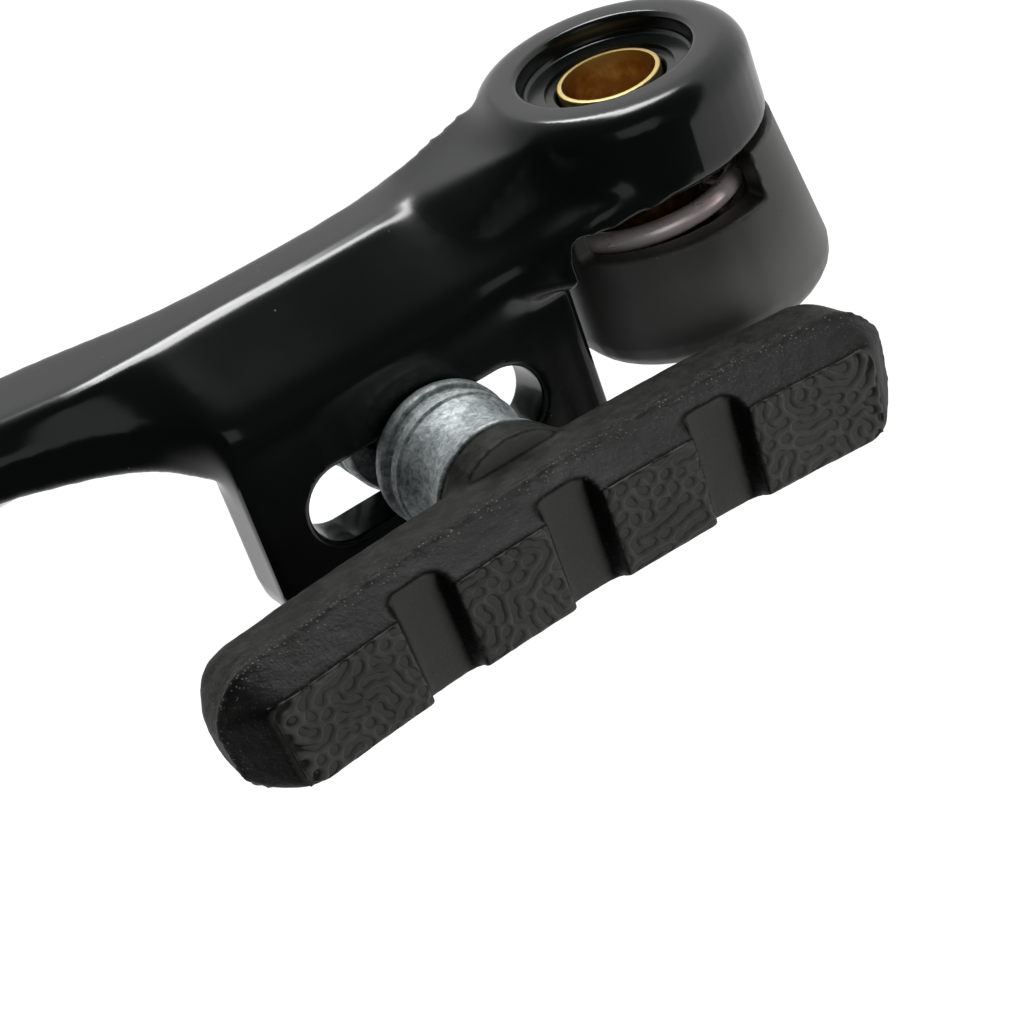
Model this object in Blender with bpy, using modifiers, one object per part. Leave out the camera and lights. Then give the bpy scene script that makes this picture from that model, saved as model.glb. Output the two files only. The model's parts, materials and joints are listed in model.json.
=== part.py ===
"""One V-brake arm with its spring housing and pad, lying as it does before it is fitted to a frame.

The pivot axis is Y with the front of the bicycle at -Y, the arm stands up along +Z and the pad faces -X.
The origin is on the pivot axis, at the face that seats on the frame.
Depths are counted from the eye's front lip.
"""
import math

import bmesh
import bpy
from mathutils import Matrix, Vector

MM = 0.001

# Fits shared by all pieces
GAP = 0.3 * MM
BOSS_R = 4.0 * MM
BUSH_PLAY = 0.05 * MM
BUSH_WALL = 0.55 * MM
SEAT_TO_LIP = 24.4 * MM

# Eye of the arm
EYE_R = 12.15 * MM
EYE_LIP_ROUND = 2.5 * MM
EYE_DEPTH = 8.7 * MM
EYE_BACK_ROUND = 0.8 * MM
COUNTERBORE_R = 7.7 * MM
COUNTERBORE_DEPTH = 1.95 * MM
BUSH_BELOW_LIP = 1.65 * MM

# Flange with the slot for the pad's stud
FLANGE_FACE = 6.0 * MM
FLANGE_T = 5.4 * MM
FLANGE_FOOT = 12.2 * MM
FLANGE_HEAD = 46.2 * MM
FLANGE_HEAD_DROP = 0.4 * MM
FLANGE_FRONT_DEPTH = 12.4 * MM
FLANGE_BACK_DEPTH = 31.5 * MM
FLANGE_CORNER_R = 5.0 * MM
FLANGE_EDGE_ROUND = 0.7 * MM
FLANGE_SUNK = 0.25 * MM
FLANGE_RUN_OUT = 1.65 * MM
SLOT_DEPTH = 21.4 * MM
SLOT_HALF_W = 3.55 * MM
SLOT_FOOT = 17.6 * MM
SLOT_HEAD = 41.1 * MM
SLOT_MOUTH_ROUND = 0.5 * MM

# Bar of the arm, up to the cable anchor
ARM_LENGTH = 102.0 * MM
BAR_FRONT_DEPTH = 4.0 * MM
RIDGE_ROUND = 0.9 * MM
SHOULDER_ROUND = 2.2 * MM
ANCHOR_X = 9.4 * MM
TIP_R = 6.4 * MM
TIP_FRONT_DEPTH = 3.4 * MM
TIP_BACK_DEPTH = 10.6 * MM
TIP_EDGE_ROUND = 0.8 * MM

# Cable anchor bolt and its washer
ANCHOR_THREAD_R = 3.0 * MM
ANCHOR_THREAD_OUT = 1.2 * MM
ANCHOR_HEAD_R = 5.0 * MM
ANCHOR_HEAD_H = 5.2 * MM
ANCHOR_KEY_AF = 5.0 * MM
ANCHOR_KEY_DEPTH = 3.0 * MM
ANCHOR_WASHER_R = 6.3 * MM
ANCHOR_WASHER_T = 2.0 * MM
CABLE_GROOVE_R = 0.8 * MM
LUG_W = 5.0 * MM
LUG_T = 1.6 * MM
LUG_REACH = 3.2 * MM
LUG_SET_BACK = 0.2 * MM
LUG_WEB_IN = 2.5 * MM

# Spring housing
HOUSING_SIDE = 12.0 * MM
HOUSING_TOP = 10.8 * MM
HOUSING_FOOT = 12.0 * MM
HOUSING_FLARE = 1.5 * MM
HOUSING_TOP_CORNER_R = 10.8 * MM
HOUSING_FOOT_CORNER_R = 11.2 * MM
HOUSING_BACK_ROUND = 2.6 * MM
HOUSING_WALL = 1.9 * MM
HOUSING_FLOOR = 2.0 * MM
WINDOW_DEPTH = 13.2 * MM
WINDOW_FOOT = 5.0 * MM
WINDOW_INNER_X = 5.0 * MM
LEG_SLOT_FOOT = 2.0 * MM
LEG_SLOT_EXTRA = 0.8 * MM
HOOK_IN_POCKET = 0.6 * MM
HOOK_BEND_ROOM = 1.0 * MM
SCREW_HOLE_START = 0.5 * MM

# Spring
WIRE_R = 1.0 * MM
COIL_TO_WALL = 0.4 * MM
COIL_FRONT_DEPTH = 11.2 * MM
COIL_TO_FLOOR = 0.8 * MM
COIL_TURNS = 3.25
COIL_STEP_DEG = 15
LEG_TO_WASHER = 0.6 * MM
LEG_TO_BAR = 0.4 * MM
LEG_LEAN = 2.6 * MM
HOOK_REACH = 3.1 * MM
SLEEVE_WALL = 0.6 * MM
SLEEVE_BELOW_PIN = 4.0 * MM
SLEEVE_ABOVE_PIN = 3.0 * MM
WIRE_PAST_SLEEVE = 1.0 * MM

# Pins and the tension screw
PIN_R = 1.6 * MM
PIN_HEAD_R = 2.6 * MM
PIN_HEAD_T = 0.8 * MM
PIN_Z = 70.0 * MM
PIN_IN_ARM = 3.5 * MM
STOP_PIN_R = 1.2 * MM
STOP_PIN_X = 9.0 * MM
STOP_PIN_OUT = 5.0 * MM
STOP_PIN_IN = 1.5 * MM
SCREW_R = 1.9 * MM
SCREW_HEAD_R = 3.3 * MM
SCREW_HEAD_T = 2.2 * MM
SCREW_BOSS_R = 3.3 * MM
SCREW_BOSS_END = 13.4 * MM
SCREW_SLOT_W = 0.9 * MM
SCREW_SLOT_DEPTH = 1.1 * MM

# Pad stack, counted from the flange's middle along the stud
STUD_R = 3.0 * MM
STUD_HEAD_R = 4.0 * MM
STUD_HEAD_T = 1.6 * MM
STUD_HEAD_IN = 3.0 * MM
STUD_OUT = 3.0 * MM
STUD_Z = 28.4 * MM
BALL_R = 7.5 * MM
CONVEX_R = 6.5 * MM
CONVEX_SHOULDER_R = 6.0 * MM
CONVEX_HOLE_R = 4.0 * MM
FAR_WASHER_R = 5.9 * MM
CUP_R = 6.3 * MM
CUP_WAIST_R = 5.5 * MM
CUP_RIM_R = 5.6 * MM
CUP_LONG = 7.95 * MM
CUP_SHORT = 3.6 * MM
FLAT_WASHER_R = 6.0 * MM
FLAT_WASHER_T = 1.2 * MM
NUT_AF = 10.0 * MM
NUT_T = 5.0 * MM

# Pad block
PAD_R = 283.0 * MM
PAD_THICKNESS = 11.0 * MM
PAD_BOSS_R = 6.4 * MM
PAD_BOSS_H = 2.0 * MM
PAD_FACE_HALF = 4.15 * MM
PAD_SEAM_HALF = 6.0 * MM
PAD_SEAM_DEPTH = 4.6 * MM
PAD_BACK_HALF = 4.9 * MM
PAD_OFF_STUD = 0.7 * MM
OUTER_BLOCK = 12.3 * MM
INNER_BLOCK = 9.1 * MM
GROOVE_W = 5.1 * MM
GROOVE_DEPTH = 2.3 * MM
GROOVE_FLOOR_R = 1.1 * MM
PAD_NOSE = 3.4 * MM

# Fineness of round shapes
TURN_STEPS = 32
FINE_STEPS = 48
CORNER_STEPS = 10


def behind_lip(depth):
    """The Y of a plane this far behind the eye's front lip."""
    return depth - SEAT_TO_LIP


# Places worked out from the sizes
BUSH_R = BOSS_R + BUSH_PLAY + BUSH_WALL
EYE_BACK = behind_lip(EYE_DEPTH)
HOUSING_RIM = EYE_BACK + GAP
CAVITY_R = HOUSING_SIDE - HOUSING_WALL
COIL_R = CAVITY_R - COIL_TO_WALL - WIRE_R
COIL_BACK_DEPTH = SEAT_TO_LIP - HOUSING_FLOOR - COIL_TO_FLOOR - WIRE_R
LEG_DEPTH = SLOT_DEPTH - FLAT_WASHER_R - LEG_TO_WASHER - WIRE_R
SLEEVE_FOOT = PIN_Z - SLEEVE_BELOW_PIN
SLEEVE_HEAD = PIN_Z + SLEEVE_ABOVE_PIN
LEG_TOP = SLEEVE_HEAD + WIRE_PAST_SLEEVE
FAR = 60 * MM
FLANGE_MID_X = -FLANGE_FACE + FLANGE_T / 2
PAD_CENTRE = Vector((FLANGE_MID_X, behind_lip(SLOT_DEPTH), STUD_Z))
SCREW_Y = behind_lip(COIL_BACK_DEPTH)
SCREW_Z = -(COIL_R + WIRE_R + GAP + SCREW_R)
CONVEX_FOOT = FLANGE_T / 2 + GAP
CUP_BALL_R = BALL_R + GAP
CUP_RIM_H = math.sqrt(CUP_BALL_R**2 - CUP_RIM_R**2)
CUP_LONG_TOP = CUP_RIM_H + CUP_LONG
CUP_SHORT_TOP = CUP_RIM_H + CUP_SHORT
FLAT_WASHER_FOOT = CUP_SHORT_TOP + GAP
NUT_FOOT = FLAT_WASHER_FOOT + FLAT_WASHER_T + GAP
PAD_BACK = CUP_LONG_TOP + GAP + PAD_BOSS_H
PAD_FACE_HALF_LENGTH = OUTER_BLOCK + GROOVE_W * 1.5 + INNER_BLOCK

# Turns that lay a piece's own Z along a model axis
TO_FRONT = Matrix.Rotation(math.radians(90), 4, "X")
TO_PAD = Matrix.Rotation(math.radians(-90), 4, "Y")
TO_FAR = Matrix.Rotation(math.radians(90), 4, "Y")
HALF_STEP = Matrix.Rotation(math.pi / FINE_STEPS, 4, "Z")


def clear_scene():
    for obj in list(bpy.data.objects):
        bpy.data.objects.remove(obj, do_unlink=True)


def new_collection(name):
    found = bpy.data.collections.new(name)
    bpy.context.scene.collection.children.link(found)
    return found


def make_material(name, color, roughness, metallic):
    made = bpy.data.materials.new(name)
    made.use_nodes = True
    shader = made.node_tree.nodes["Principled BSDF"]
    shader.inputs["Base Color"].default_value = (*color, 1.0)
    shader.inputs["Roughness"].default_value = roughness
    shader.inputs["Metallic"].default_value = metallic
    return made


clear_scene()
PARTS = new_collection("v_brake_arm")
CUTTERS = new_collection("cutters")
PIVOT = bpy.data.objects.new("arm_pivot", None)
PAD_PIVOT = bpy.data.objects.new("pad_pivot", None)
for empty in (PIVOT, PAD_PIVOT):
    PARTS.objects.link(empty)
PAD_PIVOT.parent = PIVOT
PAD_PIVOT.location = PAD_CENTRE


def add_part(obj, material, parent=None, smooth_deg=35):
    """Puts a finished piece in the parts collection, its cutters on the same parent."""
    PARTS.objects.link(obj)
    obj.data.materials.append(material)
    obj.parent = parent
    for step in obj.modifiers:
        step.object.parent = parent
    obj.data.shade_smooth()
    obj.data.set_sharp_from_angle(angle=math.radians(smooth_deg))
    return obj


def add_tool(obj):
    """Puts a cutter or a form to be joined in the cutters collection."""
    CUTTERS.objects.link(obj)
    obj.hide_render = True
    obj.display_type = "WIRE"
    return obj


def combine(target, tool, operation):
    step = target.modifiers.new(f"{operation.lower()} {tool.name}", "BOOLEAN")
    step.operation = operation
    step.object = tool
    step.solver = "EXACT"


def cut(target, tool):
    combine(target, tool, "DIFFERENCE")


def join(target, tool):
    combine(target, tool, "UNION")


def mesh_object(name, work):
    """An object from a bmesh, with its faces turned outwards."""
    bmesh.ops.recalc_face_normals(work, faces=work.faces)
    mesh = bpy.data.meshes.new(name)
    work.to_mesh(mesh)
    work.free()
    return bpy.data.objects.new(name, mesh)


def baked(obj):
    """The same object with its modifiers applied, so that it can be cut or joined exactly."""
    graph = bpy.context.evaluated_depsgraph_get()
    obj.data = bpy.data.meshes.new_from_object(obj.evaluated_get(graph))
    obj.modifiers.clear()
    return obj


def turned(name, profile, turn=TO_FRONT, place=(0, 0, 0), steps=TURN_STEPS):
    """A turned piece: points (radius, height) about its own Z, which `turn` then lays along a model axis."""
    on_axis = profile[0][0] < 1e-9
    area = sum(a[0] * b[1] - b[0] * a[1] for a, b in zip(profile, profile[1:] + profile[:1]))
    if area > 0:
        profile = profile[::-1]
    count = len(profile)
    edges = [(i, i + 1) for i in range(count - 1)]
    if not on_axis:
        edges.append((count - 1, 0))
    mesh = bpy.data.meshes.new(name)
    mesh.from_pydata([(r, 0, h) for r, h in profile], edges, [])
    obj = bpy.data.objects.new(name, mesh)
    CUTTERS.objects.link(obj)
    screw = obj.modifiers.new("turn", "SCREW")
    screw.axis = "Z"
    screw.steps = steps
    screw.render_steps = steps
    screw.use_merge_vertices = True
    screw.merge_threshold = 1e-6
    screw.use_smooth_shade = True
    bpy.context.view_layer.update()
    baked(obj)
    CUTTERS.objects.unlink(obj)
    obj.data.transform(turn)
    obj.location = place
    return obj


def arc(centre, radius, start_deg, end_deg, steps):
    """Points on an arc, from its start to its end."""
    turn = (end_deg - start_deg) / steps
    angles = [math.radians(start_deg + turn * i) for i in range(steps + 1)]
    return [(centre[0] + radius * math.cos(a), centre[1] + radius * math.sin(a)) for a in angles]


def snapped(point):
    """The point on a grid of a ten-thousandth of a millimetre, so that faces meant to be level are level."""
    return tuple(round(value, 7) for value in point)


def rounded(corners):
    """An outline with each corner (u, v, radius, steps) turned into an arc."""
    points = []
    count = len(corners)
    for i, (u, v, radius, steps) in enumerate(corners):
        here = Vector((u, v))
        back = Vector(corners[i - 1][:2]) - here
        ahead = Vector(corners[(i + 1) % count][:2]) - here
        half = back.angle(ahead) / 2
        reach = min(radius / math.tan(half), 0.49 * back.length, 0.49 * ahead.length)
        radius = reach * math.tan(half)
        start = here + back.normalized() * reach
        end = here + ahead.normalized() * reach
        centre = here + (back.normalized() + ahead.normalized()).normalized() * (radius / math.sin(half))
        for k in range(steps + 1):
            outward = (start - centre).slerp(end - centre, k / steps).normalized()
            points.append(snapped(centre + outward * radius))
    return points


def loft(name, rings):
    """A closed solid through rings of equal count."""
    work = bmesh.new()
    loops = [[work.verts.new(p) for p in ring] for ring in rings]
    count = len(rings[0])
    for low, high in zip(loops, loops[1:]):
        for i in range(count):
            j = (i + 1) % count
            work.faces.new((low[i], low[j], high[j], high[i]))
    work.faces.new(loops[0][::-1])
    work.faces.new(loops[-1])
    return mesh_object(name, work)


def plate(name, outline, thickness, place, axis="X", edge_round=0.0, segments=2):
    """A flat outline given as (u, v) points, centred on `place`, with rounded edges if asked."""
    curve = bpy.data.curves.new(name, "CURVE")
    curve.dimensions = "2D"
    curve.fill_mode = "BOTH"
    curve.extrude = thickness / 2
    spline = curve.splines.new("POLY")
    spline.points.add(len(outline) - 1)
    for point, (u, v) in zip(spline.points, outline):
        point.co = (u, v, 0, 1)
    spline.use_cyclic_u = True
    guide = bpy.data.objects.new(name + " outline", curve)
    CUTTERS.objects.link(guide)
    bpy.context.view_layer.update()
    graph = bpy.context.evaluated_depsgraph_get()
    mesh = bpy.data.meshes.new_from_object(guide.evaluated_get(graph))
    bpy.data.objects.remove(guide, do_unlink=True)
    work = bmesh.new()
    work.from_mesh(mesh)
    bmesh.ops.remove_doubles(work, verts=work.verts, dist=1e-6)
    if edge_round > 0:
        rim = [e for e in work.edges if len(e.link_faces) == 2 and e.calc_face_angle(0) > math.radians(60)
               and abs(e.verts[0].co.z - e.verts[1].co.z) < 1e-7]
        bmesh.ops.bevel(work, geom=rim, offset=edge_round, offset_type="OFFSET", segments=segments,
                        profile=0.5, affect="EDGES", material=-1, clamp_overlap=True)
    turns = {
        "X": Matrix(((0, 0, 1, 0), (1, 0, 0, 0), (0, 1, 0, 0), (0, 0, 0, 1))),
        "Y": Matrix(((1, 0, 0, 0), (0, 0, 1, 0), (0, 1, 0, 0), (0, 0, 0, 1))),
        "Z": Matrix.Identity(4),
    }
    bmesh.ops.transform(work, matrix=Matrix.Translation(place) @ turns[axis], verts=work.verts)
    for vert in work.verts:
        vert.co = snapped(vert.co)
    return mesh_object(name, work)


def block(name, low, high):
    """A plain box between two corners, for cutting."""
    work = bmesh.new()
    bmesh.ops.create_cube(work, size=1.0)
    size = Vector(high) - Vector(low)
    middle = (Vector(high) + Vector(low)) / 2
    fit = Matrix.Translation(middle) @ Matrix.Diagonal((*size, 1))
    bmesh.ops.transform(work, matrix=fit, verts=work.verts)
    return mesh_object(name, work)


def rod(name, radius, start, end, steps=24):
    """A plain round bar between two points, for cutting or joining."""
    start = Vector(start)
    end = Vector(end)
    work = bmesh.new()
    bmesh.ops.create_cone(work, cap_ends=True, segments=steps, radius1=radius, radius2=radius,
                          depth=(end - start).length)
    lean = (end - start).to_track_quat("Z", "Y").to_matrix().to_4x4()
    bmesh.ops.transform(work, matrix=Matrix.Translation((start + end) / 2) @ lean, verts=work.verts)
    return mesh_object(name, work)


def wire(name, points, radius, sides_level=2):
    """A round wire through the points, made a mesh with welded caps."""
    curve = bpy.data.curves.new(name, "CURVE")
    curve.dimensions = "3D"
    curve.bevel_depth = radius
    curve.bevel_resolution = sides_level
    curve.use_fill_caps = True
    spline = curve.splines.new("POLY")
    spline.points.add(len(points) - 1)
    for point, place in zip(spline.points, points):
        point.co = (*place, 1)
    guide = bpy.data.objects.new(name + " path", curve)
    CUTTERS.objects.link(guide)
    bpy.context.view_layer.update()
    graph = bpy.context.evaluated_depsgraph_get()
    mesh = bpy.data.meshes.new_from_object(guide.evaluated_get(graph))
    bpy.data.objects.remove(guide, do_unlink=True)
    work = bmesh.new()
    work.from_mesh(mesh)
    bmesh.ops.remove_doubles(work, verts=work.verts, dist=1e-6)
    return mesh_object(name, work)


def smooth_value(keys, at):
    """A value between keys (place, value), smooth and without overshoot."""
    places = [k[0] for k in keys]
    values = [k[1] for k in keys]
    if at <= places[0]:
        return values[0]
    if at >= places[-1]:
        return values[-1]
    slopes = [(values[i + 1] - values[i]) / (places[i + 1] - places[i]) for i in range(len(keys) - 1)]
    tangents = [0.0]
    for left, right in zip(slopes, slopes[1:]):
        tangents.append(0.0 if left * right <= 0 else 2 * left * right / (left + right))
    tangents.append(slopes[-1])
    i = max(k for k in range(len(slopes)) if places[k] <= at)
    span = places[i + 1] - places[i]
    t = (at - places[i]) / span
    return ((2 * t**3 - 3 * t**2 + 1) * values[i] + (t**3 - 2 * t**2 + t) * span * tangents[i]
            + (3 * t**2 - 2 * t**3) * values[i + 1] + (t**3 - t**2) * span * tangents[i + 1])


PAINT = make_material("gloss black paint", (0.012, 0.014, 0.013), 0.2, 0.0)
BRASS = make_material("brass", (0.42, 0.24, 0.06), 0.35, 1.0)
PLASTIC = make_material("black plastic", (0.03, 0.03, 0.028), 0.45, 0.0)
RUBBER = make_material("pad rubber", (0.028, 0.027, 0.025), 0.75, 0.0)
SPRING_STEEL = make_material("spring steel", (0.6, 0.56, 0.53), 0.25, 1.0)
STEEL = make_material("dark steel", (0.25, 0.25, 0.26), 0.35, 1.0)


def bar_keys(*pairs):
    """Keys along the bar in millimetres, as (height, value)."""
    return [(z * MM, value * MM) for z, value in pairs]


def above_flange(share):
    """A height, in millimetres, at a share of the way from the flange's head to the cable anchor."""
    return (FLANGE_HEAD + share * (ARM_LENGTH - FLANGE_HEAD)) / MM


def bar_back(z):
    """How deep the bar's outer back lies at a height: just in front of the spring's leg beside the flange."""
    beside_leg = (LEG_DEPTH - WIRE_R - LEG_TO_BAR) / MM
    head = FLANGE_HEAD / MM
    keys = bar_keys(
        (head - 6, beside_leg), (head, beside_leg - 0.4), (head + 4, beside_leg - 1.1),
        (above_flange(0.2), beside_leg - 1.9), (above_flange(0.32), beside_leg - 2.8),
        (above_flange(1), beside_leg - 2.8))
    return smooth_value(keys, z)


def bar_section(z):
    """The bar's outline at a height: ridge, crown, outer side, outer back, inner back and shoulder."""
    head = FLANGE_HEAD / MM
    face = (FLANGE_FACE + FLANGE_SUNK) / MM
    bar_front = BAR_FRONT_DEPTH / MM
    ridge_x = smooth_value(bar_keys(
        (0, 10), (5, 9.5), (9, 8.2), (13.5, 6), (16, 4.5), (20, 2.8), (24, 2), (31, 2), (40, 2.4),
        (above_flange(0.12), 2.2), (above_flange(0.25), 4.1), (above_flange(0.5), 6.2),
        (above_flange(0.85), 6.4), (above_flange(1), 6)), z)
    crown_x = smooth_value(bar_keys(
        (0, 11.4), (5, 11.3), (9, 11), (14, 10.1), (20, 8.4), (26, 7.5), (32, 7.5), (40, 7.9),
        (above_flange(0.18), 11.6), (above_flange(0.4), 13.2), (above_flange(0.85), 12.8),
        (above_flange(1), 12.4)), z)
    front = smooth_value(bar_keys(
        (5, bar_front + 1.2), (9, bar_front + 0.8), (13, bar_front + 0.2), (17, bar_front)), z)
    side_x = smooth_value(bar_keys(
        (0, -11.6), (5, -11.3), (9, -10.9), (12, -9.9), (14.5, -face - 1.9), (18, -face - 0.4),
        (21, -face), (head - 1, -face), (head + 1.5, -3.2), (head + 4, -0.9), (above_flange(0.14), 0.7),
        (above_flange(0.28), 2.3), (above_flange(0.5), 4.2), (above_flange(1), 5.2)), z)
    shoulder = smooth_value(bar_keys(
        (5, 6), (9, 6.5), (12, 7.6), (14.5, 8.8), (18, 9.9), (22, 10.3), (head - 4, 10.4), (head, 10),
        (head + 4, 8.6), (above_flange(0.18), 7.2), (above_flange(0.32), 6), (above_flange(1), 5.6)), z)
    inner_back = smooth_value(bar_keys(
        (15, 13.6), (19, 14.2), (22, 15.8), (head - 1, 15.8), (head + 1, 15.2), (head + 3, 14),
        (head + 6, 12.8), (above_flange(0.2), 11.4), (above_flange(0.32), 10.2),
        (above_flange(1), 9.8)), z)
    run_out = smooth_value(bar_keys(
        (15, 0.3), (18, FLANGE_RUN_OUT / MM), (head - 1, FLANGE_RUN_OUT / MM), (head + 4, 0.4)), z)
    outer_back = bar_back(z)
    swell_end = shoulder + 0.4 * (inner_back - shoulder)
    back_x = side_x + 0.55 * (crown_x - side_x)
    back = outer_back + 0.15 * (inner_back - outer_back)
    middle = (front + outer_back) / 2
    corners = [
        (ridge_x, front, RIDGE_ROUND, 3),
        (crown_x, front, RIDGE_ROUND * 1.3, 3),
        (crown_x + 1.5 * MM, middle, 3 * MM, 2),
        (crown_x + 0.7 * MM, outer_back, 1.8 * MM, 3),
        (back_x, back, 2 * MM, 2),
        (side_x + run_out, inner_back, 1.2 * MM, 3),
        (side_x, swell_end, 0.4 * MM, 1),
        (side_x, shoulder, SHOULDER_ROUND, 4),
    ]
    return [(x, behind_lip(depth), z) for x, depth in rounded(corners)]


def make_bar():
    heights = [0, 3, 6, 8, 10, 11.5, 13, 14.5, 16, 18, 20, 23, 27, 31, 35, 39, 42, 44]
    heights += [FLANGE_HEAD / MM + step for step in (-1, 0, 1, 2, 3, 4.5, 6)]
    shares = (0.15, 0.2, 0.26, 0.33, 0.42, 0.52, 0.64, 0.76, 0.88, 0.96, 1)
    heights += [above_flange(share) for share in shares]
    return loft("bar", [bar_section(z * MM) for z in heights])


def make_eye():
    """The eye, its front lip rounded, left long at the back for the housing's room to trim."""
    lip = arc((EYE_R - EYE_LIP_ROUND, -EYE_LIP_ROUND), EYE_LIP_ROUND, 90, 0, 6)
    back = arc((EYE_R - EYE_BACK_ROUND, EYE_BACK_ROUND - EYE_DEPTH), EYE_BACK_ROUND, 0, -90, 3)
    long_back = -EYE_DEPTH - 1 * MM
    profile = [(0, 0), *lip, *back, (EYE_R - EYE_BACK_ROUND, long_back), (0, long_back)]
    return turned("eye", profile, place=(0, behind_lip(0), 0), steps=FINE_STEPS)


def make_flange():
    """The flange, left long at its foot, where the room for the housing trims it."""
    trim = 1 * MM
    front = behind_lip(FLANGE_FRONT_DEPTH)
    back = behind_lip(FLANGE_BACK_DEPTH)
    outline = rounded([
        (front, FLANGE_FOOT - trim, 1 * MM, 2),
        (back, FLANGE_FOOT - trim, FLANGE_CORNER_R + trim, 6),
        (back, FLANGE_HEAD - FLANGE_HEAD_DROP, FLANGE_CORNER_R, 6),
        (front, FLANGE_HEAD, 1 * MM, 2),
    ])
    return plate("flange", outline, FLANGE_T, (FLANGE_MID_X, 0, 0), edge_round=FLANGE_EDGE_ROUND)


def slot_cutter():
    """The slot, with its mouths opened out at both faces."""
    middle = behind_lip(SLOT_DEPTH)

    def ring(x, grow):
        r = SLOT_HALF_W + grow
        ends = (SLOT_HEAD - SLOT_HALF_W, SLOT_FOOT + SLOT_HALF_W)
        outline = arc((middle, ends[0]), r, 0, 180, 10) + arc((middle, ends[1]), r, 180, 360, 10)
        return [(x, y, z) for y, z in outline]

    reach = FLANGE_T / 2
    mouth = SLOT_MOUTH_ROUND
    rings = [
        ring(FLANGE_MID_X - reach - mouth, 2 * mouth),
        ring(FLANGE_MID_X - reach + mouth, 0),
        ring(FLANGE_MID_X + reach - mouth, 0),
        ring(FLANGE_MID_X + reach + mouth, 2 * mouth),
    ]
    return loft("slot", rings)


def make_tip():
    """The arm's upper end, round about the anchor bolt."""
    depth = TIP_BACK_DEPTH - TIP_FRONT_DEPTH
    top = arc((TIP_R - TIP_EDGE_ROUND, -TIP_EDGE_ROUND), TIP_EDGE_ROUND, 90, 0, 3)
    foot = arc((TIP_R - TIP_EDGE_ROUND, TIP_EDGE_ROUND - depth), TIP_EDGE_ROUND, 0, -90, 3)
    profile = [(0, 0), *top, *foot, (0, -depth)]
    return turned("tip", profile, place=(ANCHOR_X, behind_lip(TIP_FRONT_DEPTH), ARM_LENGTH))


def make_arm():
    arm = make_bar()
    arm.name = "arm"
    for form in (make_eye(), make_flange(), make_tip()):
        join(arm, add_tool(form))
    housing_room = block("housing room", (-FAR, EYE_BACK, -FAR), (FAR, FAR, FLANGE_FOOT))
    bush_hole_r = BUSH_R + GAP
    bore = [
        (0, 1 * MM), (COUNTERBORE_R, 1 * MM), (COUNTERBORE_R, -COUNTERBORE_DEPTH),
        (bush_hole_r, -COUNTERBORE_DEPTH), (bush_hole_r, -EYE_DEPTH - 3 * MM), (0, -EYE_DEPTH - 3 * MM),
    ]
    tools = [
        housing_room,
        turned("bore", bore, turn=TO_FRONT @ HALF_STEP, place=(0, behind_lip(0), 0), steps=FINE_STEPS),
        slot_cutter(),
        rod("pin hole", PIN_R + GAP, (pin_x(), pin_foot() - GAP, PIN_Z), (pin_x(), 0, PIN_Z)),
        rod("anchor hole", ANCHOR_THREAD_R + GAP, (ANCHOR_X, -FAR, ARM_LENGTH), (ANCHOR_X, FAR, ARM_LENGTH)),
    ]
    for tool in tools:
        cut(arm, add_tool(tool))
    return add_part(arm, PAINT, PIVOT)


def make_bush():
    inner = BOSS_R + BUSH_PLAY
    length = SEAT_TO_LIP - BUSH_BELOW_LIP
    chamfer = 0.2 * MM
    profile = [
        (inner + chamfer, length), (BUSH_R - chamfer, length), (BUSH_R, length - chamfer),
        (BUSH_R, 0), (inner, 0), (inner, length - chamfer),
    ]
    return add_part(turned("pivot_bush", profile, steps=FINE_STEPS), BRASS)


def housing_ring(y):
    """The housing's outline at a depth: low over the flange's foot and flared to the back."""
    share = (y - HOUSING_RIM) / -HOUSING_RIM
    grow = HOUSING_FLARE * min(1.0, share / 0.85)
    round_start = -HOUSING_BACK_ROUND
    inset = 0.0
    if y > round_start:
        rise = (y - round_start) / HOUSING_BACK_ROUND
        inset = HOUSING_BACK_ROUND * (1 - math.sqrt(max(0.0, 1 - rise**2)))
    side = HOUSING_SIDE + grow - inset
    top = HOUSING_TOP - inset
    foot = HOUSING_FOOT + grow - inset
    top_r = HOUSING_TOP_CORNER_R - inset
    foot_r = HOUSING_FOOT_CORNER_R + grow - inset
    outline = rounded([
        (-side, -foot, foot_r, CORNER_STEPS), (side, -foot, foot_r, CORNER_STEPS),
        (side, top, top_r, CORNER_STEPS), (-side, top, top_r, CORNER_STEPS),
    ])
    return [(x, y, z) for x, z in outline]


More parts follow.
